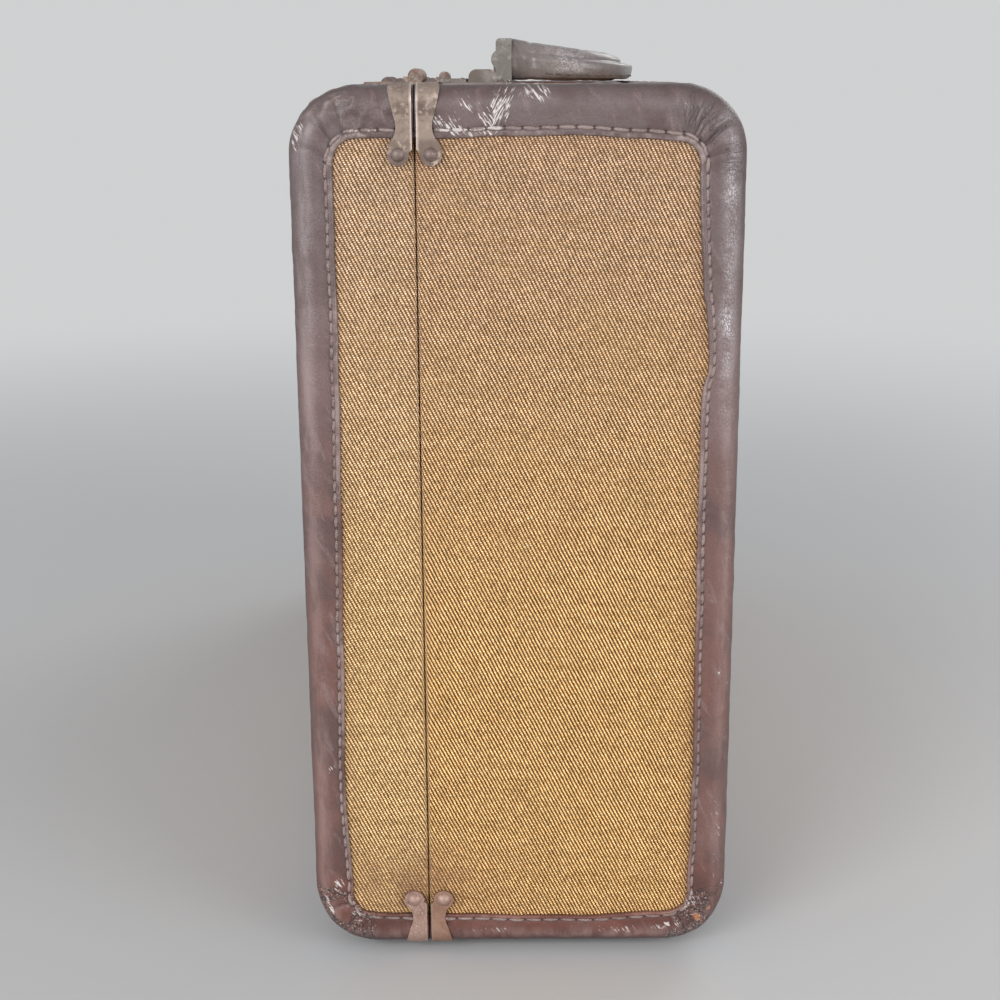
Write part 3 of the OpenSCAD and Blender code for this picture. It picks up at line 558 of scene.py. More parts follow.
TWEED = twill("tweed")
HIDE = ((0.163, 0.071, 0.056), (0.13, 0.097, 0.095), (0.24, 0.168, 0.16), (0.074, 0.042, 0.039))
BINDING = leather("binding_leather", *HIDE)
EDGE_HIDE = leather("edge_leather", *HIDE, holes=False)
GRIP_HIDE = leather("handle_leather", (0.165, 0.136, 0.127), (0.165, 0.136, 0.127), (0.34, 0.31, 0.295),
                    (0.095, 0.074, 0.07), gloss=0.3, holes=False, coat=0.18, relief=0.35)
CLIP_BRASS = aged_metal("clip_brass", (0.72, 0.585, 0.5), (0.3, 0.23, 0.19), (0.145, 0.1, 0.08), slit=True,
                        foot=(0.53, 0.3, 0.235))
HASP = aged_metal("hasp_brass", (0.48, 0.38, 0.33), (0.27, 0.2, 0.17), (0.185, 0.125, 0.102), grey_from=-0.0372)
BRASS = aged_metal("aged_brass", (0.5, 0.462, 0.43), (0.268, 0.243, 0.222), (0.168, 0.138, 0.121))
RIVET = aged_metal("rivet_brass", (0.4, 0.31, 0.275), (0.21, 0.157, 0.142), (0.14, 0.095, 0.083), 0.4,
                   foot=(0.62, 0.4, 0.32))
STEEL = aged_metal("pin_steel", (0.5, 0.48, 0.45), (0.3, 0.28, 0.26), (0.2, 0.15, 0.12), 0.35)
CAP_METAL = aged_metal("cap_metal", (0.52, 0.51, 0.48), (0.28, 0.275, 0.26), (0.2, 0.185, 0.17), 0.4)
FOOT = aged_metal("foot_metal", (0.3, 0.26, 0.22), (0.13, 0.11, 0.1), (0.08, 0.06, 0.05), 0.45)
THREAD = sewing_thread("waxed_thread", (0.175, 0.122, 0.113), (0.31, 0.24, 0.224))
DARK_THREAD = sewing_thread("handle_thread", (0.1, 0.084, 0.078), (0.2, 0.175, 0.162))
BOARD = fibre_board("board", (0.2, 0.13, 0.07), (0.36, 0.25, 0.15))
VALANCE = fibre_board("valance_board", (0.25, 0.17, 0.1), (0.4, 0.3, 0.19))
LINING = woven("lining_cloth", (0.5, 0.36, 0.2), (0.66, 0.51, 0.33), 0.0009, (0.3, 0.17, 0.1))
POCKET = woven("pocket_cloth", (0.44, 0.3, 0.17), (0.58, 0.43, 0.27), 0.0009)
WEBBING = woven("strap_webbing", (0.15, 0.09, 0.05), (0.27, 0.18, 0.1), 0.0014)


# End bindings: leather folded over the edge between an end and the walls

# Reach of the bend on the end and on the walls, and runs of the painted highlight band down the bend and the painted
# shade at its outer edge
BEND_A, BEND_B = 9, 7.5
CROWN_V, RIM_V = 12.6, 21
# Run across the leather's face at each column of points, from the cut edge; one is the stitch row
FACE_V = [0, 0.35, 0.9, 1.6, 2.4, 3.2, 3.9, 4.4, STITCH_V, 5.6, 6.2, 7]


def end_stations(sx):
    """Window point, outer point, outward direction and corner angle all round one half of an end."""
    x_slit = SPLIT_X + sx * SLIT_HALF
    w_x = WINDOW[1] if sx > 0 else WINDOW[0]
    cx, wx = sx * (CASE_W / 2 - CORNER_R), w_x - sx * WINDOW_R
    top_z, low_z = Z1 - CORNER_R, Z0 + CORNER_R
    w_top, w_low = WINDOW[3] - WINDOW_R, WINDOW[2] + WINDOW_R
    out = []

    def straight(wa, wb, oa, ob, n):
        a, b = np.array([*wa, *oa]), np.array([*wb, *ob])
        for f in np.linspace(0, 1, max(2, int(math.dist(oa, ob))), endpoint=False):
            out.append((*(a + (b - a) * f), *n, -1))

    def corner(wc, oc, a0, a1):
        for deg in a0 + (a1 - a0) * np.linspace(0, 1, 56, endpoint=False):
            n = np.array([math.cos(math.radians(deg)) * sx, math.sin(math.radians(deg))])
            out.append((*(wc + WINDOW_R * n), *(oc + CORNER_R * n), *n, abs(deg)))

    straight((x_slit, WINDOW[3]), (wx, WINDOW[3]), (x_slit, Z1), (cx, Z1), (0, 1))
    corner((wx, w_top), (cx, top_z), 90, 0)
    straight((w_x, w_top), (w_x, w_low), (sx * CASE_W / 2, top_z), (sx * CASE_W / 2, low_z), (sx, 0))
    corner((wx, w_low), (cx, low_z), 0, -90)
    straight((wx, WINDOW[2]), (x_slit, WINDOW[2]), (cx, Z0), (x_slit, Z0), (0, -1))
    out.append((x_slit, WINDOW[2], x_slit, Z0, 0, -1, -1))
    return np.array(out)


# Corner pleats as (angle from the horizontal, depth, width in degrees), for lid and base, top and low
PLEATS = {
    (-1, 1): [(70, -0.5, 4), (52, 0.35, 7), (40, -0.55, 4), (24, 0.35, 8), (10, -0.35, 4)],
    (1, 1): [(82, -0.35, 2.2), (75, -0.55, 2.4), (67, -0.6, 2.6), (58, -0.5, 2.6), (44, 0.55, 6),
             (30, -1.1, 3.2), (16, 0.45, 8), (4, -0.3, 4)],
    (-1, -1): [(75, -0.4, 4), (55, -0.6, 3.5), (38, 0.4, 7), (25, -0.5, 4), (12, -0.3, 5)],
    (1, -1): [(80, -0.4, 3), (66, -0.6, 3), (50, 0.4, 6), (40, -0.7, 3), (24, -0.5, 3), (10, -0.4, 4)],
}
# Scuffs on the near end as (x, z, half length, half width, turn in degrees, strength)
SCUFFS = [
    (-7, 339.2, 9, 5.2, 62, 1.1), (-3.5, 344, 5, 3, 62, 1), (6.5, 345.2, 6, 3.8, -20, 1.15),
    (-11.5, 335.5, 5, 2.4, -40, 1), (-27.5, 334.6, 4.5, 2.4, -35, 1), (-20.5, 331.8, 6, 2, -20, 1),
    (-12, 331.2, 6, 1.3, 0, 0.95), (-56, 332.5, 9, 1.6, 0, 0.6),
    (-80.5, 329.5, 7, 2.2, 75, 1.05), (-75.8, 82.5, 4.5, 2, 35, 0.75), (-78.2, 22.8, 6.6, 1.1, -75, 1.3),
    (-25.5, 333.2, 4.6, 2.4, -30, 1.1), (-21.5, 331.4, 5, 1.5, 0, 1.05), (-75, 31.6, 4.6, 3.6, 60, 0.95),
    (-66.8, 18.5, 4.2, 1.4, -40, 0.95), (58, 12.8, 6, 1.8, 10, 0.95), (64.5, 13, 4, 2.4, 80, 0.9),
    (78.4, 38, 11, 0.7, 88, 1), (82.1, 30.2, 4, 0.7, 85, 0.95), (69.5, 24, 4.5, 3.5, 45, 0.9),
    (81, 170.5, 4.5, 0.9, 80, 0.8), (78.6, 124.5, 6, 1, 75, 0.8), (82.6, 122, 6, 1.4, 80, 0.85),
    (20, 12, 3, 0.9, 60, 0.8), (-10, 11, 3.5, 0.9, 50, 0.7), (75, 14.5, 5, 1.6, 40, 0.7),
]
# Scratched patches as (x, z, half length in x, half length in z, strength)
SCRATCHES = [(-17, 341, 9, 6, 1.05), (-24, 336, 8, 5, 1), (-70, 339, 9, 5, 0.72),
             (74, 333, 7, 6, 0.7), (60, 340, 9, 4, 0.8), (79, 60, 4, 20, 0.95),
             (40, 11, 20, 4, 1), (-10, 11, 24, 4, 0.95)]
# Bare and crackled patches, in the same terms as the scuffs
BARES = [(72.3, 16.4, 2.6, 1.7, -50, 1), (77.9, 20.9, 3.2, 0.9, 25, 0.95), (-80.5, 28.5, 3.5, 0.8, -55, 0.7),
         (83.4, 132, 4, 0.6, 90, 0.7)]
CRACKLES = [(66, 336, 12, 8, -40, 1), (78, 322, 12, 5, 95, 0.8)]


def ellipses(x, z, rows):
    """The strongest of the turned patches at each point."""
    total = np.zeros_like(x)
    for cx, cz, a, b, turn, power in rows:
        c, s = math.cos(math.radians(turn)), math.sin(math.radians(turn))
        p, q = (x - cx) * c + (z - cz) * s, -(x - cx) * s + (z - cz) * c
        total = np.maximum(total, power * np.exp(-((p / a) ** 4) - (q / b) ** 4))
    return total


# Where the leather's cut edge lies outside the straight window, as (place, millimetres), and its stitch row
CUT_TOP = ([-66, -50, -24, 2, 30, 39, 48, 57], [1.9, 2, 1.8, 2.4, 2.4, 1.5, 1.1, 0.2])
CUT_LOW = ([-60, -50, -19, 0, 30, 43, 55], [0.3, 0.8, 1.2, 1.9, 1.9, 0.9, 0.5])
CUT_LID = ([30, 50, 67, 85, 120, 168, 216, 240, 320], [0.8, 1.3, 2.4, 2.4, 1.8, 1.2, 0.5, 0, 0.1])
CUT_BASE = ([30, 49, 85, 230, 240, 246, 261, 270, 276, 290, 305, 318],
            [2, 2.4, 2.8, 2.6, 3.2, 5, 4.9, 3.8, 2.4, 1.7, 0.7, 0.2])
STITCH_IN = ([10, 60, 200, 320, 345], [1.7, 2, 2.5, 2.9, 2.8])
STITCH_STEP = ([15, 40, 300, 335], [7, 4.9, 4.6, 6.5])


def on_end(side, flat, y):
    """Points of an end from (x, z) pairs that lie y behind its face."""
    return np.stack(np.broadcast_arrays(flat[..., 0], side * (CASE_L / 2 - y), flat[..., 1]), -1)


def clear_of_slit(gap):
    """A test that leaves out stitches where the rim clips are."""
    return lambda q: abs(q[0] - SPLIT_X) > gap


def end_binding(sx, side, seed):
    """Leather round one half of an end, with its pleats, wear and two rows of stitches."""
    st = end_stations(sx)
    n = len(st)
    window, outer, nrm, turn = st[:, 0:2].copy(), st[:, 2:4], st[:, 4:6], st[:, 6]
    z_of, rank = outer[:, 1], np.arange(n)
    wob = noise2(rank / 14, 0.3, seed) * 0.35 + noise2(rank / 4, 0.6, seed) * 0.12
    window += nrm * wob[:, None]
    across = np.where(z_of > MID_Z, np.interp(outer[:, 0], *CUT_TOP), np.interp(outer[:, 0], *CUT_LOW))
    upright = np.interp(z_of, *(CUT_BASE if sx > 0 else CUT_LID))
    cut = across * nrm[:, 1] ** 2 + upright * nrm[:, 0] ** 2
    if side > 0:
        cut = np.minimum(cut, 2.4) * 0.8
    window += nrm * cut[:, None]
    sewn = np.interp(window[:, 1], *STITCH_IN)
    step = STITCH_PITCH / np.interp(z_of, *STITCH_STEP)
    fold = outer - nrm * BEND_A
    width = np.linalg.norm(fold - window, axis=1)
    along = (fold - window) / width[:, None]
    limit = width * 0.92
    out_dir = np.array([0, side, 0])
    nrm3 = np.stack([nrm[:, 0], np.zeros(n), nrm[:, 1]], 1)
    # Columns across the strip: window edge, face, bend and wall leg
    cols = []

    def column(flat, y, normal, v):
        cols.append((flat, np.full(n, y), np.broadcast_to(normal, (n, 3)), np.broadcast_to(v, n)))

    for v in FACE_V:
        d = np.where(v <= STITCH_V, v * sewn / STITCH_V, sewn + v - STITCH_V)
        column(window + along * np.minimum(d, limit)[:, None], 0, out_dir, v)
    start = np.minimum(sewn + FACE_V[-1] - STITCH_V, limit)
    for f in np.linspace(0, 1, 6)[1:]:
        d = start + (width - start) * f
        column(window + along * d[:, None], 0, out_dir, np.maximum(d, FACE_V[-1] + f))
    for f in np.linspace(0, 1, 13)[1:]:
        c, s = math.cos(f * QUARTER), math.sin(f * QUARTER)
        column(fold + nrm * BEND_A * s, BEND_B * (1 - c), s * nrm3 + c * out_dir, cols[-1][3] + 1.1)
    for y in (*np.linspace(BEND_B, WRAP_W, 9)[1:-1], WRAP_W - 0.35, WRAP_W):
        column(outer, y, nrm3, cols[-1][3] + 1.2)
    p, y, nn, v = (np.stack(part, 1) for part in zip(*cols))
    pts = on_end(side, p, y)
    # Stitch groove, puffed margin, soft waves and corner pleats
    j_st = FACE_V.index(STITCH_V)
    run = arc_length(pts[:, j_st])
    u = np.concatenate([[0], np.cumsum(np.diff(run) * (step[1:] + step[:-1]) / 2)])
    uu = u[:, None] + np.zeros_like(v)
    groove = -0.35 * bell(v - STITCH_V, 0.9) * (v <= 8.2)
    near_hole = np.abs((uu / STITCH_PITCH) % 1 - 0.5)
    pucker = 0.3 * (0.5 - near_hole) * bell(v - 2.6, 1.9)
    pucker = pucker - 0.25 * bell(near_hole - 0.5, 0.12) * bell(v - STITCH_V, 1.4)
    margin = 0.18 * bell(v - 2.6, 1.7) - 0.8 * bell(v, 0.45)
    swell = 0.22 * bell(v - 12, 4)
    wave = 0.16 * noise2(uu / 11, v / 8, seed + 2) + 0.07 * noise2(uu / 3.2, v / 3, seed + 3)
    pleat, dark, wrinkle = np.zeros_like(v), np.zeros_like(v), np.zeros_like(v)
    if side < 0 and sx < 0:
        ridge = 1 - np.abs(noise2(uu / 7 + v / 10, v / 5 - uu / 16, 77))
        wrinkle = ease(ridge, 0.72, 1) * bell(pts[..., 0] + 60, 18) * bell(pts[..., 2] - 337, 11)
        wave = wave + 1.2 * wrinkle
    inner = ease(v, 4.2, 7) * (1 - ease(v, 12, 21))
    for up in (1, -1):
        here = ((turn >= 0) & ((nrm[:, 1] * up) > -1e-6))[:, None]
        for deg, depth, wide in PLEATS[(sx, up)]:
            off = turn[:, None] - deg + 2.2 * noise2(v / 6, deg / 7, seed + 4)
            pleat += depth * (bell(off, wide) * here) * inner
            # Painted shade goes into the sunken pleats
            if depth < 0:
                dark = np.maximum(dark, min(1, -depth) * bell(off, wide * 0.7) * here * inner)
        gather = here * bell(v - 2.2, 2) * np.sin(np.radians(turn))[:, None].clip(0) ** 0.3
        pleat += 0.35 * gather * np.cos(2 * math.pi * uu / 4.4)
    # The leather lies flat and close to the wall under the rim clips
    flat = ease(np.abs(pts[..., 0] - SPLIT_X), 8, 13)
    lift = (groove + pucker + margin + swell + wave * ease(v, 0.2, 1.5) + pleat) * (0.25 + 0.75 * flat)
    lift = np.where(v > 29.5, lift * 0.3, lift)
    lift[:, -1] -= 0.4
    sag = 1.1 * bell(v - 20, 5.5) * ease(-nrm[:, 1], 0.35, 0.9)[:, None] * flat
    pad = (1 - flat) * bell(v - 15, 7) * 0.9 * ((v > 9) & (v < 24))
    for push in (lift, sag, pad):
        pts = pts + nn * push[..., None]
    # The back side has four more columns
    back_flat = np.stack([outer - nrm * LEATHER_T, outer - nrm * LEATHER_T, fold, window], 1)
    back = on_end(side, back_flat, np.array([WRAP_W, BEND_B, LEATHER_T, LEATHER_T]))
    full = np.concatenate([pts, back], 1)
    vv = np.concatenate([v, np.tile([46, 50, 56, 60], (n, 1))], 1)
    ua = np.repeat(u[:, None], vv.shape[1], 1)
    x, z = full[..., 0], full[..., 2]
    # Wear and other marks
    at_corner = (turn >= 0)[:, None] * np.ones_like(vv)
    wear = bell(vv - 19, 6) * (0.12 + 0.12 * at_corner) + 0.3 * noise2(ua / 30, vv / 9, seed + 5)
    wear += 0.4 * bell(vv - 0.4, 0.8) + 0.5 * bell(vv - 2.4, 2.2) + 0.3 * at_corner * bell(vv - 3, 3)
    # Painted highlight on the wrinkle ridges at the lid's top corner, carried in the wear attribute
    wear[:, :len(cols)] += 0.7 * wrinkle
    # Painted highlight down the crown of the bend, weaker on the top edge
    crown = bell(vv - CROWN_V, 3) * (0.8 + 0.4 * noise2(ua / 45, 0.4, seed + 10))
    crown = crown * (1 - 0.85 * (nrm[:, 1] > 0.7))[:, None]
    low_corner = at_corner * (1 - ease(z, 30, 48)) * (1 - ease(vv, 18, 30))
    crackle = low_corner * ease(noise2(ua / 7, vv / 5, seed + 9), -0.6, 0.4)
    if side < 0:
        scuff, bare = ellipses(x, z, SCUFFS), ellipses(x, z, BARES)
        scratch = np.zeros_like(vv)
        for cx, cz, a, b, power in SCRATCHES:
            scratch = np.maximum(scratch, power * bell(x - cx, a) * bell(z - cz, b))
        # Painted highlight down the right strip of the near end, where the leather is also glossier
        shine = bell(x - 77.8, 2.5) * ease(z, 200, 262) * (1 - ease(z, 333, 345))
        shine = shine * (0.75 + 0.5 * noise2(z / 9, x / 6, 91))
        crackle = np.maximum(crackle, 0.45 * ellipses(x, z, CRACKLES))
    else:
        scuff = ease(noise2(ua / 16, vv / 7, seed + 6), 0.55, 0.95) * 0.8
        scratch = ease(noise2(ua / 22, vv / 10, seed + 7), 0.5, 0.95)
        bare = ease(noise2(ua / 9, vv / 5, seed + 8), 0.8, 1) * at_corner
        shine = 0
    # Painted shade in the pleat folds, under the stitch row and at the cut edge by the cloth
    crease = dark + 0.2 * bell(v - STITCH_V, 1.1) + 0.35 * bell(v, 0.5)
    crease = np.concatenate([crease, np.zeros((n, 4))], 1)
    body, end = BODY_OF[sx], END_OF[side]
    obj = leather_solid(f"{body}_end_leather_{end}", full, np.stack([ua, vv], 2), BINDING, wear=wear, scuff=scuff,
                        scratch=scratch, bare=bare, shine=shine, crease=crease, crackle=crackle,
                        rim=bell(vv - RIM_V, 3.2), crown=crown)
    place(obj, body, "binding_leather", f"{body}_end_binding_{end}")
    normal = normals_of(pts, nn)
    j_leg = len(cols) - 5
    verts, faces = join_parts([
        threads(pts[:, j_st], normal[:, j_st], STITCH_PITCH, 6.3, 0.7, 0.6, seed,
                clear_of_slit(7.5), u),
        threads(pts[:, j_leg], normal[:, j_leg], STITCH_PITCH, 5.3, 0.36, 0.2, seed + 1,
                clear_of_slit(11))])
    chalk = ellipses(verts[:, 0], verts[:, 2], SCUFFS) if side < 0 else np.zeros(len(verts))
    obj = add_mesh(f"{body}_end_stitches_{end}", verts, faces, THREAD, None, {"scuff": chalk})
    place(obj, body, "binding_leather")


for sx in (-1, 1):
    for side in (-1, 1):
        end_binding(sx, side, 20 + 10 * (sx > 0) + 40 * (side > 0))


# Leather along the four long edges

EDGE_SEAM = 3.4


def edge_binding(sx, up, seed):
    """Leather round one long edge between the end bindings, with two rows of stitches."""
    half = CASE_L / 2 - WRAP_W - 0.1
    cx, cz = sx * (CASE_W / 2 - CORNER_R), MID_Z + up * (CASE_H / 2 - CORNER_R)
    ys = np.linspace(-half, half, 330)
    # Rows of the section: x, z, the normal's x and z, and the run across the strip
    rows = [(cx - sx * (EDGE_LEG - d), cz + up * CORNER_R, 0, up, d) for d in (0, 0.4, 1.2, 2.2)]
    for f in np.linspace(0, 1, 31):
        c, s = sx * math.cos(QUARTER * (1 - f)), up * math.sin(QUARTER * (1 - f))
        rows.append((cx + CORNER_R * c, cz + CORNER_R * s, c, s, EDGE_LEG + f * CORNER_R * QUARTER))
    total = rows[-1][4] + EDGE_LEG
    rows += [(cx + sx * CORNER_R, cz - up * d, sx, 0, total - EDGE_LEG + d) for d in (0.8, 1.8, 2.6, 3)]
    rows = np.array(rows)
    sec, nor, vs = rows[:, :2], rows[:, 2:4], rows[:, 4]
    yy, vv = grid(ys, vs)
    edge = np.minimum(vv, total - vv)
    lift = 0.14 * noise2(yy / 13, vv / 8, seed) + 0.06 * noise2(yy / 3.5, vv / 3, seed + 1)
    lift += 0.15 * bell(edge - 1.6, 1.1) - 0.5 * bell(edge, 0.35) - 0.35 * bell(edge - EDGE_SEAM, 0.6)
    for q in range(7):
        y0 = np.random.default_rng(seed + q).uniform(-half, half)
        lift -= 0.35 * bell(yy - y0 - 4 * noise2(vv / 9, q, seed + 9), 1.3) * bell(vv - total / 2, 14)
    lift *= ease(half - np.abs(yy), -0.5, 1.5) * 0.8 + 0.2
    pts = pushed(sec, nor, lift, yy)
    r_in = CORNER_R - 2
    back_s = [(cx + sx * (CORNER_R - LEATHER_T), cz - up * EDGE_LEG)]
    for f in np.linspace(0, 1, 7):
        back_s.append((cx + sx * r_in * math.cos(QUARTER * f), cz + up * r_in * math.sin(QUARTER * f)))
    back_s.append((cx - sx * EDGE_LEG, cz + up * (CORNER_R - LEATHER_T)))
    back = np.array([[(b[0], y, b[1]) for b in back_s] for y in ys])
    v_all = np.concatenate([vv, np.tile(total + 5 * np.arange(1, len(back_s) + 1), (len(ys), 1))], 1)
    ya = np.repeat(yy[:, :1], v_all.shape[1], 1)
    edge = np.minimum(v_all, np.abs(total - v_all))
    wear = 0.5 * bell(v_all - total / 2, 11) + 0.3 * noise2(ya / 40, v_all / 12, seed + 2)
    wear += 0.3 * bell(edge, 0.8)
    spots, lines = noise2(ya / 17, v_all / 8, seed + 3), noise2(ya / 26, v_all / 9, seed + 4)
    body, level = BODY_OF[sx], LEVEL_OF[up]
    # The leather gets a faint painted highlight all over, and painted shade in the seam grooves
    obj = leather_solid(f"{body}_edge_leather_{level}", np.concatenate([pts, back], 1), np.stack([ya, v_all], 2),
                        EDGE_HIDE, wear=wear * 0.6, scuff=ease(spots, 0.5, 0.95) * 0.8,
                        scratch=ease(lines, 0.45, 0.9), shine=0.2, crease=0.7 * bell(edge - EDGE_SEAM, 0.7))
    place(obj, body, "binding_leather", f"{body}_edge_binding_{level}")
    seams = []
    for d in (EDGE_SEAM, total - EDGE_SEAM):
        j = int(np.argmin(np.abs(vs - d)))
        normal = np.tile([nor[j, 0], 0, nor[j, 1]], (len(ys), 1))
        seams.append(threads(pts[:, j], normal, STITCH_PITCH, 5.3, 0.5, 0.4, seed + j))
    obj = add_mesh(f"{body}_edge_stitches_{level}", *join_parts(seams), THREAD)
    place(obj, body, "binding_leather")


for sx in (-1, 1):
    for up in (-1, 1):
        edge_binding(sx, up, 200 + 10 * (sx > 0) + 30 * (up > 0))


# Cloth panels

def cloth_sheet(name, pts, uv, fade, soil, body, node, out, pale=0):
    """One cut of tweed stretched over its board; the grid pts is (n, m, 3) in millimetres."""
    attrs = {"fade": fade, "soil": soil, "pale": pale}
    attrs = {key: np.broadcast_to(value, pts.shape[:2]).ravel() for key, value in attrs.items()}
    obj = add_mesh(name, pts.reshape(-1, 3), facing_quads(pts, out), TWEED, uv.reshape(-1, 2), attrs)
    thicken(obj, 0.7)
    place(obj, body, "tweed", node)


def rolled(far, slit, sx, r, margin, counts, lip):
    """Section of a cloth from its far edge to the slit, where it rolls inwards: x, depth and run."""
    span = abs(far - slit)
    ss = [*np.linspace(0, span - margin, counts[0], endpoint=False), *np.linspace(span - margin, span - r, counts[1])]
    xs, deep = [far - sx * s for s in ss], [0] * len(ss)
    for f in np.linspace(0, 1, counts[2])[1:]:
        xs.append(slit + sx * r * (1 - math.sin(f * QUARTER)))
        deep.append(r * (1 - math.cos(f * QUARTER)))
        ss.append(span - r + r * (f * QUARTER))
    for d in range(1, counts[3] + 1):
        xs.append(slit)
        deep.append(r + lip * d)
        ss.append(ss[-1] + lip)
    return span, np.array(xs), np.array(deep), np.array(ss)


def end_cloth(sx, side):
    """Cloth in the window of one half of an end, rolled in at the slit."""
    x_far = (WINDOW[1] + 8.5) if sx > 0 else (WINDOW[0] - 7)
    x_slit, r = SPLIT_X + sx * SLIT_HALF, 0.8
    span, xs, deep, ss = rolled(x_far, x_slit, sx, r, 6, (40, 8, 7, 2), 1)
    zs = np.linspace(WINDOW[2] - 6, WINDOW[3] + 6, 120)
    xx, zz = grid(xs, zs)
    inside = ease(xx, WINDOW[0], WINDOW[0] + 12) * (1 - ease(xx, WINDOW[1] - 12, WINDOW[1]))
    inside = inside * ease(zz, WINDOW[2], WINDOW[2] + 12) * (1 - ease(zz, WINDOW[3] - 12, WINDOW[3]))
    off = 0.35 * inside + 0.1 * noise2(xx / 30, zz / 30, 500 + side + 3 * sx)
    depth = LEATHER_T + deep[:, None] - off * ease(np.abs(xx - x_slit), 0.3, 3)
    pts = np.stack([xx, side * (CASE_L / 2 - depth), zz], 2)
    u = -side * xx + sx * side * np.maximum(0, ss - (span - r))[:, None]
    # Stains by the bottom clips and below the top clips; painted shade in a line along the slit and along the leather
    # edges round the window
    soil = 0.75 * bell(xx - SPLIT_X + 4, 26) * bell(zz - 32, 15) + 0.2 * bell(xx - SPLIT_X, 2)
    soil += 0.2 * bell(zz - WINDOW[2], 3) + 0.25 * bell(zz - WINDOW[3] - 2, 4) + 0.25 * bell(xx - WINDOW[0], 3)
    soil += 0.3 * bell(xx - WINDOW[1] - 2, 4) + 0.3 * bell(xx - SPLIT_X, 9) * bell(zz - 322, 8)
    body, end = BODY_OF[sx], END_OF[side]
    # Painted light up the end: warm below, cool above
    cloth_sheet(f"{body}_end_tweed_{end}", pts, np.stack([u, zz], 2), ease(zz, 110, 350), np.clip(soil, 0, 0.85),
                body, f"{body}_end_cloth_{end}", (0, side, 0), 0.75 * (sx < 0) + 0.2)


def wall_cloth(sx, up):
    """Cloth on the top or bottom wall of one half, rolled in at the slit."""
    x_slit, x_far = SPLIT_X + sx * SEAM / 2, sx * (CASE_W / 2 - CORNER_R)
    span, xs, deep, ss = rolled(x_far, x_slit, sx, 0.9, 5, (14, 5, 6, 1), 0.9)
    ys = np.linspace(-CLOTH_HALF_L, CLOTH_HALF_L, 130)
    xx, yy = grid(xs, ys)
    dz = deep[:, None] + 0.05 + 0.05 * noise2(xx / 20, yy / 20, 520 + up)
    pts = np.stack([xx, yy, (CLOTH_TOP - dz) if up > 0 else (CLOTH_BOTTOM + dz)], 2)
    uv = np.stack([yy * up, ss[:, None] * sx + 0 * yy], 2)
    # Painted shade along the slit and the end bindings' edges; soil on the bottom wall and in two patches by the slit
    soil = 0.35 * bell(xx - SPLIT_X, 4) + 0.3 * bell(np.abs(yy) - (CASE_L / 2 - WRAP_W), 5)
    soil = soil + (0.35 if up < 0 else 0) + 0.3 * bell(np.abs(yy) - 170, 22) * bell(xx - SPLIT_X, 30)
    body, level = BODY_OF[sx], LEVEL_OF[up]
    # Painted light: cool on the top wall, warm on the bottom one
    cloth_sheet(f"{body}_{level}_tweed", pts, uv, 0.7 if up > 0 else 0.1, np.clip(soil, 0, 0.8), body,
                f"{body}_{level}_cloth", (0, 0, up))


def face_cloth(sx):
    """Cloth on one of the two large faces, a little bulged."""
    half_y, half_z = CLOTH_HALF_L, CASE_H / 2 - CORNER_R
    yy, zz = grid(np.linspace(-half_y, half_y, 130), np.linspace(-half_z, half_z, 80))
    bulge = 0.7 * (1 - (yy / half_y) ** 4) * (1 - (zz / half_z) ** 4) + 0.2 * noise2(yy / 50, zz / 50, 540 + sx)
    pts = np.stack([sx * (CASE_W / 2 - LEATHER_T + bulge), yy, MID_Z + zz], 2)
    # Painted shade along the leather edges; soil in random patches
    soil = 0.3 * bell(half_z - np.abs(zz) - 3, 5) + 0.3 * bell(half_y - np.abs(yy) - 12, 5)
    soil = soil + 0.3 * ease(noise2(yy / 60, zz / 60, 545 + sx), 0.2, 0.9)
    # Painted light cooler upwards, with tone that differs at random
    fade = 0.4 + 0.25 * noise2(yy / 90, zz / 70, 548 + sx) + zz / 900
    body = BODY_OF[sx]
    cloth_sheet(f"{body}_face_tweed", pts, np.stack([yy * sx, zz], 2), fade, np.clip(soil, 0, 0.7), body,
                f"{body}_face_cloth", (sx, 0, 0))


for sx in (-1, 1):
    for side in (-1, 1):
        end_cloth(sx, side)
        wall_cloth(sx, side)
    face_cloth(sx)


# Handle: leather rolled over a steel core, sewn into a welt on its outer side

# Folds across the grip, as (share of its length, width in millimetres)
GRIP_FOLDS = ((0.16, 1.6), (0.22, 1.2), (0.31, 2), (0.43, 1.5), (0.55, 1.8), (0.66, 1.4), (0.75, 1.7), (0.84, 1.4))


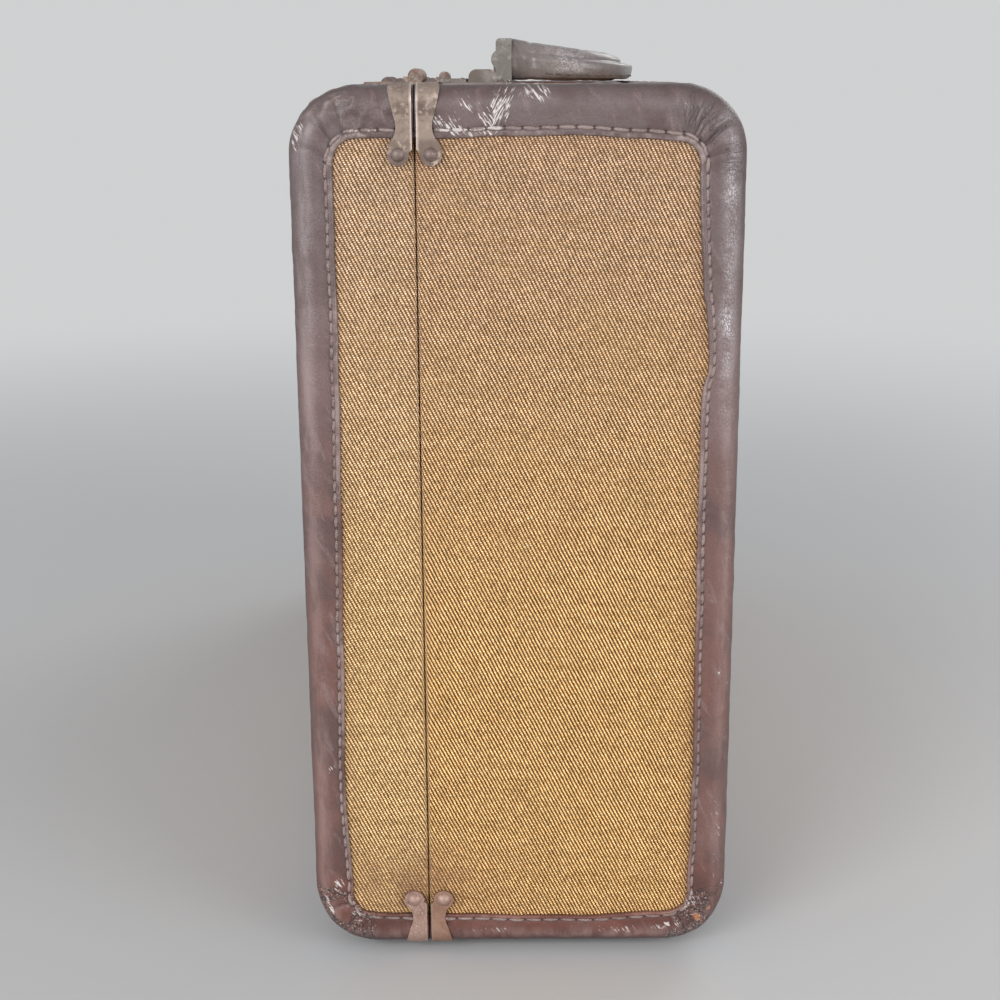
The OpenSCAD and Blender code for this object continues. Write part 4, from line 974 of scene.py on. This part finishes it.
def handle_grip():
    """The handle's bowed leather roll and the stitches on its welt."""
    steps, around = 150, 72
    half, rise, bow = 70, 49, 0.62
    reach, drop, welt_w = 5.05, 4.1, 5.2
    a = QUARTER * (1 - np.cos(np.linspace(0, math.pi, steps)))
    px = rise * np.abs(np.sin(a)) ** bow
    py = -half * np.sign(np.cos(a)) * np.abs(np.cos(a)) ** bow
    line = np.stack([px, py], 1)
    d = np.gradient(line, axis=0)
    d[0], d[-1] = (1, 0.02), (-1, 0.02)
    dx, dy = np.split(unit(d), 2, axis=1)
    mid = (px / rise)[:, None]
    s = arc_length(line)
    t = 2 * math.pi * np.arange(around) / around
    nx, ny, deg = np.cos(t)[None], np.sin(t)[None], np.degrees(t)
    welt = np.where(deg > 180, ease(deg, 292, 306), 1 - ease(deg, 4, 16))
    p = (6.3 + 0.7 * mid) * (np.sign(nx) * np.abs(nx) ** 0.7) + welt_w * (welt[None] * mid)
    q = (9.4 - 3.4 * mid) * (np.sign(ny) * np.abs(ny) ** 0.7)
    ss, tt = grid(s, t)
    deg = np.degrees(tt)
    lift = 0.28 * noise2(ss / 12, tt * 2.2, 601) + 0.1 * noise2(ss / 4, tt * 5, 602)
    lift -= 0.45 * bell(np.abs(ss - s[-1] / 2) - s[-1] / 2 + 9, 1.2)
    for at, w in GRIP_FOLDS:
        lift -= 0.4 * bell(ss - s[-1] * at - 3 * np.sin(tt + at * 9), w) * (np.cos(tt) < 0.4)
    seam = bell(deg - 293, 4) + bell(deg - 17, 4)
    lift -= 0.5 * seam * mid
    p, q = p + lift * nx, q + lift * ny
    x = PIVOT[0] + reach + px[:, None] + p * dy
    pts = np.stack([x, py[:, None] - p * dx, PIVOT[1] - drop * mid + q], 2)
    wear = 0.2 * bell(deg - 90, 50) + 0.45 * bell(deg - 340, 25) * mid
    wear += 0.3 * noise2(ss / 15, tt * 2, 603)
    # Painted light on the grip: a pale spot on its upper front, a broad highlight high on the roll, a paler lower
    # front, and painted shade along the welt seams and at the ends by the caps
    rubbed = bell(px - 24, 8)[:, None] * ease(np.cos(tt - 0.25), 0.55, 0.98)
    obj = leather_solid("handle_leather", pts, np.stack([ss, tt * 8], 2), GRIP_HIDE, wear=wear,
                        crown=0.5 * bell(deg - 305, 28), shine=0.2 * bell(deg - 110, 60) + 0.75 * rubbed,
                        crease=0.8 * seam * mid + 0.5 * bell(px, 5)[:, None])
    place(obj, "handle", "handle_leather", "handle_grip")
    j = int(round(around * 330 / 360))
    nn = normals_of(pts, np.stack([nx * dy, -nx * dx, ny + 0 * ss], 2))
    part = slice(20, steps - 20)
    verts, faces = threads(pts[part, j], nn[part, j], 5, 3.9, 0.45, 0.4, 610)
    place(add_mesh("handle_stitches", verts, faces, DARK_THREAD), "handle", "handle_leather")


handle_grip()


# Linings, pocket and packing straps inside

def lining(sx):
    """Wall and end panels of one half, as one glued lining."""
    x_open = SPLIT_X + (SEAM / 2 if sx > 0 else -11)
    r = CORNER_R - ROOM_IN
    xo = sx * (CASE_W / 2 - ROOM_IN)
    xc = xo - sx * r
    top, low = Z1 - ROOM_IN, Z0 + ROOM_IN
    bend = np.linspace(0, QUARTER, 12)
    sec = [(x, top) for x in np.linspace(x_open, xc, 12, endpoint=False)]
    sec += [(xc + sx * r * math.sin(a), top - r + r * math.cos(a)) for a in bend]
    sec += [(xo, z) for z in np.linspace(top - r, low + r, 46)[1:-1]]
    sec += [(xc + sx * r * math.cos(a), low + r - r * math.sin(a)) for a in bend]
    sec += [(x, low) for x in np.linspace(xc, x_open, 12)[1:]]
    sec = np.array(sec)
    half = CASE_L / 2 - ROOM_IN
    v = arc_length(sec)
    yy, vv = grid(np.linspace(-half, half, 90), v)
    tangent = np.gradient(sec, axis=0)
    nor = unit(np.stack([tangent[:, 1], -tangent[:, 0]], 1))
    centre = np.array([(x_open + xo) / 2, MID_Z])
    nor *= np.sign(((centre - sec) * nor).sum(1, keepdims=True))
    puff = 0.12 + 0.12 * noise2(yy / 24, vv / 24, 700 + sx)
    wall = pushed(sec, nor, puff, yy)
    parts = [(wall.reshape(-1, 3), facing_quads(wall, (nor[0, 0], 0, nor[0, 1])).tolist())]
    uvs = [np.stack([yy, vv], 2).reshape(-1, 2)]
    f = np.linspace(0, 1, 14)[:, None, None]
    for side in (-1, 1):
        ring = np.stack([sec[:, 0], np.full(len(sec), side * (half - 0.1)), sec[:, 1]], 1)
        mid = np.stack([np.full(len(sec), x_open), ring[:, 1], np.clip(sec[:, 1], low + 20, top - 20)], 1)
        panel = ring[None] * (1 - f) + mid[None] * f
        parts.append((panel.reshape(-1, 3), facing_quads(panel, (0, -side, 0), 30).tolist()))
        uvs.append(panel[..., [0, 2]].reshape(-1, 2))
    body = BODY_OF[sx]
    obj = add_mesh(f"{body}_inner_lining", *join_parts(parts), LINING, np.concatenate(uvs))
    place(obj, body, "lining_cloth", f"{body}_lining")


for sx in (-1, 1):
    lining(sx)


def pocket():
    """Gathered cloth pocket on the lid's inner face, with an elastic hem along its mouth."""
    x0 = -CASE_W / 2 + ROOM_IN + 0.15
    y_half, z_low = CASE_L / 2 - 60, Z0 + CORNER_R + 4
    z_high, gather = z_low + CASE_H * 0.52, 1.15
    yy, zz = grid(np.linspace(-y_half, y_half, 420), np.linspace(z_low, z_high, 70))
    f = (zz - z_low) / (z_high - z_low)
    hem = bell(zz - z_high + 9, 3)
    loose = ease(np.minimum(y_half - np.abs(yy), 14), 0, 14) * ease(zz - z_low, 0, 12)
    wide = noise2(yy / 16, zz / 90, 720) * (0.5 + 0.5 * f)
    tight = np.sin(yy / 1.9 + 3 * noise2(yy / 20, 0, 721)) * ease(f, 0.6, 0.93)
    bag = 1.3 + loose * np.sin(math.pi * np.clip(f, 0, 1) * 0.8) + 0.55 * wide * loose
    depth = np.clip(bag + 0.55 * tight * (1 - 0.6 * hem) + 0.3 * hem, 0.15, 3.4)
    pts = np.stack([x0 + depth, yy, zz], 2)
    uv = np.stack([yy * (1 + 0.25 * f), zz], 2)
    obj = add_mesh("lid_gathered_pocket", pts.reshape(-1, 3), facing_quads(pts, (1, 0, 0)), POCKET, uv.reshape(-1, 2))
    thicken(obj, 0.5)
    place(obj, "lid", "pocket_cloth", "lid_pocket")


pocket()


def straps():
    """Two bands of webbing along the base's inner face, through the buckles."""
    x1 = CASE_W / 2 - ROOM_IN - 0.1
    half_l, half_w = CASE_H / 2 - CORNER_R, 12.5
    rows, wide = 140, 11
    zs, w = np.linspace(MID_Z - half_l, MID_Z + half_l, rows), np.linspace(-half_w, half_w, wide)
    parts, uvs = [], []
    for y0 in (-115, 115):
        off = 0.5 + 0.35 * np.sin(zs / 21 + y0) * ease(np.abs(zs - MID_Z), 20, 50)
        x = x1 - off[:, None] - 0.9 - 0.12 * bell(half_w - np.abs(w), 1)
        y = y0 + w[None] + 0.4 * np.sin(zs / 40)[:, None]
        top = np.stack([x, y, np.broadcast_to(zs[:, None], x.shape)], 2)
        low = top.copy()
        low[..., 0] = np.minimum(x + 1.1, x1)
        ring = np.concatenate([top, low[:, ::-1]], 1)
        parts.append((ring.reshape(-1, 3), tube_faces(rows, 2 * wide)))
        uvs.append(np.stack([np.tile([*w, *w[::-1]], rows), np.repeat(zs, 2 * wide)], 1))
    obj = add_mesh("packing_webbing", *join_parts(parts), WEBBING, np.concatenate(uvs))
    place(obj, "base", "strap_webbing", "packing_straps")


straps()

# CAD nodes that stay: a word in their names, their material and the width of their softened edges
STAY = {
    "shell": (BOARD, 0.4), "end_board": (BOARD, 0.4), "valance": (VALANCE, 0.3), "rim_clips": (CLIP_BRASS, 0.22),
    "rivets": (RIVET, 0), "hasp": (HASP, 0.35), "latch_plate": (HASP, 0.4), "hinge_leaves": (BRASS, 0.25),
    "lock_body": (BRASS, 0.4), "handle_post": (BRASS, 0.3), "buckles": (BRASS, 0.4), "handle_cap": (CAP_METAL, 0.5),
    "handle_pins": (CAP_METAL, 0), "lock_bolt": (CAP_METAL, 0.35), "hinge_pins": (STEEL, 0), "latch_pins": (STEEL, 0),
    "handle_core": (STEEL, 0), "feet": (FOOT, 0),
}

for name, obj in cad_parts.items():
    for word, (material, width) in STAY.items():
        if word in name:
            obj.data.materials.clear()
            obj.data.materials.append(material)
            if width:
                bevel = obj.modifiers.new("soft_edge", "BEVEL")
                bevel.width, bevel.segments = width * MM, 2
                bevel.limit_method, bevel.angle_limit = "ANGLE", math.radians(40)


# Stage: pale floor in two halves that meet under the hinge line, plain soft lights, the camera

BACKDROP = (0.63, 0.635, 0.64)
FLOOR_HALF = 3500


def floor_material():
    """Pale floor that fades into the backdrop far away, for the camera only."""
    k = Look("floor", Roughness=0.6, Specular_IOR_Level=0.2)
    p = k.coords()
    k.set("Base Color", k.mix(k.noise(p, 3, 3) * 0.3, (0.52, 0.525, 0.53), (0.56, 0.56, 0.56)))
    x, y, _ = k.split(p)
    away = k.math("SQRT", x * x + y * y)
    fade = k.step(away, 0.45, 1.7) * k.node("LightPath", {}, "Is Camera Ray")
    glow = k.node("Emission", {0: BACKDROP, 1: 1})
    k.put(k.end, k.node("MixShader", {0: fade, 1: k.surface, 2: glow}))
    return k.mat


FLOOR = floor_material()
for name, x0, x1 in (("floor_base_side", SPLIT_X, FLOOR_HALF), ("floor_lid_side", -FLOOR_HALF, SPLIT_X)):
    quad = [(x0, -FLOOR_HALF, 0), (x1, -FLOOR_HALF, 0), (x1, FLOOR_HALF, 0), (x0, FLOOR_HALF, 0)]
    floor = add_mesh(name, quad, [(0, 1, 2, 3)], FLOOR, smooth=False)
    if x0 < SPLIT_X:
        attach(floor, "lid")


def stand(obj, axes, at):
    """Puts a lamp or camera at a point, with its three axes."""
    obj.matrix_world = Matrix([(*row, p) for row, p in zip(np.stack(axes, 1), at)] + [(0, 0, 0, 1)])


def soft_light(name, at, aim, size, watts):
    """A round area lamp at a point, aimed at another; size in metres."""
    data = bpy.data.lights.new(name, "AREA")
    data.shape, data.size, data.energy = "DISK", size, watts
    z = unit(np.array(at) - np.array(aim))
    x = unit(np.cross((0, 0, 1), z))
    stand(add_object(name, data), (x, np.cross(z, x), z), at)


soft_light("key", (-1.2, -1.9, 0.95), (0, 0, 0.17), 1.4, 32)
soft_light("fill", (1.6, -1.6, 0.65), (0, 0, 0.17), 1.4, 20)
soft_light("back", (1.3, 1.7, 1.5), (0, 0, 0.17), 1.4, 15)
soft_light("left", (-1.7, -0.75, 0.3), (0, -0.2, 0.2), 0.5, 2)
soft_light("right", (1.7, -0.75, 0.3), (0, -0.2, 0.2), 0.5, 3)

# The world lights the scene softly, and the camera sees the plain backdrop
world = bpy.data.worlds.new("studio")
bpy.context.scene.world = world
sky = Nodes(world, "World")
ambient = sky.node("Background", {0: (0.95, 0.97, 1), 1: 0.55})
seen = sky.node("Background", {0: BACKDROP, 1: 1})
by_camera = sky.node("LightPath", {}, "Is Camera Ray")
sky.put(sky.end, sky.node("MixShader", {0: by_camera, 1: ambient, 2: seen}))

# The camera, as found from the photograph's edges
PITCH, YAW, ROLL = math.radians(14.656), math.radians(-0.149), math.radians(0.402)
EYE, LENS = (-0.00579, -0.86418, 0.35031), 58.14
forward = np.array([math.sin(YAW) * math.cos(PITCH), math.cos(YAW) * math.cos(PITCH), -math.sin(PITCH)])
right = np.array([math.cos(YAW), -math.sin(YAW), 0])
down = np.cross(forward, right)
cam_x = math.cos(ROLL) * right + math.sin(ROLL) * down
cam_y = math.sin(ROLL) * right - math.cos(ROLL) * down
camera_data = bpy.data.cameras.new("camera")
camera_data.sensor_width, camera_data.lens, camera_data.clip_start = 36, LENS, 0.01
camera = add_object("camera", camera_data)
stand(camera, (cam_x, cam_y, -forward), EYE)
bpy.context.scene.camera = camera
bpy.context.scene.view_settings.view_transform = "Standard"
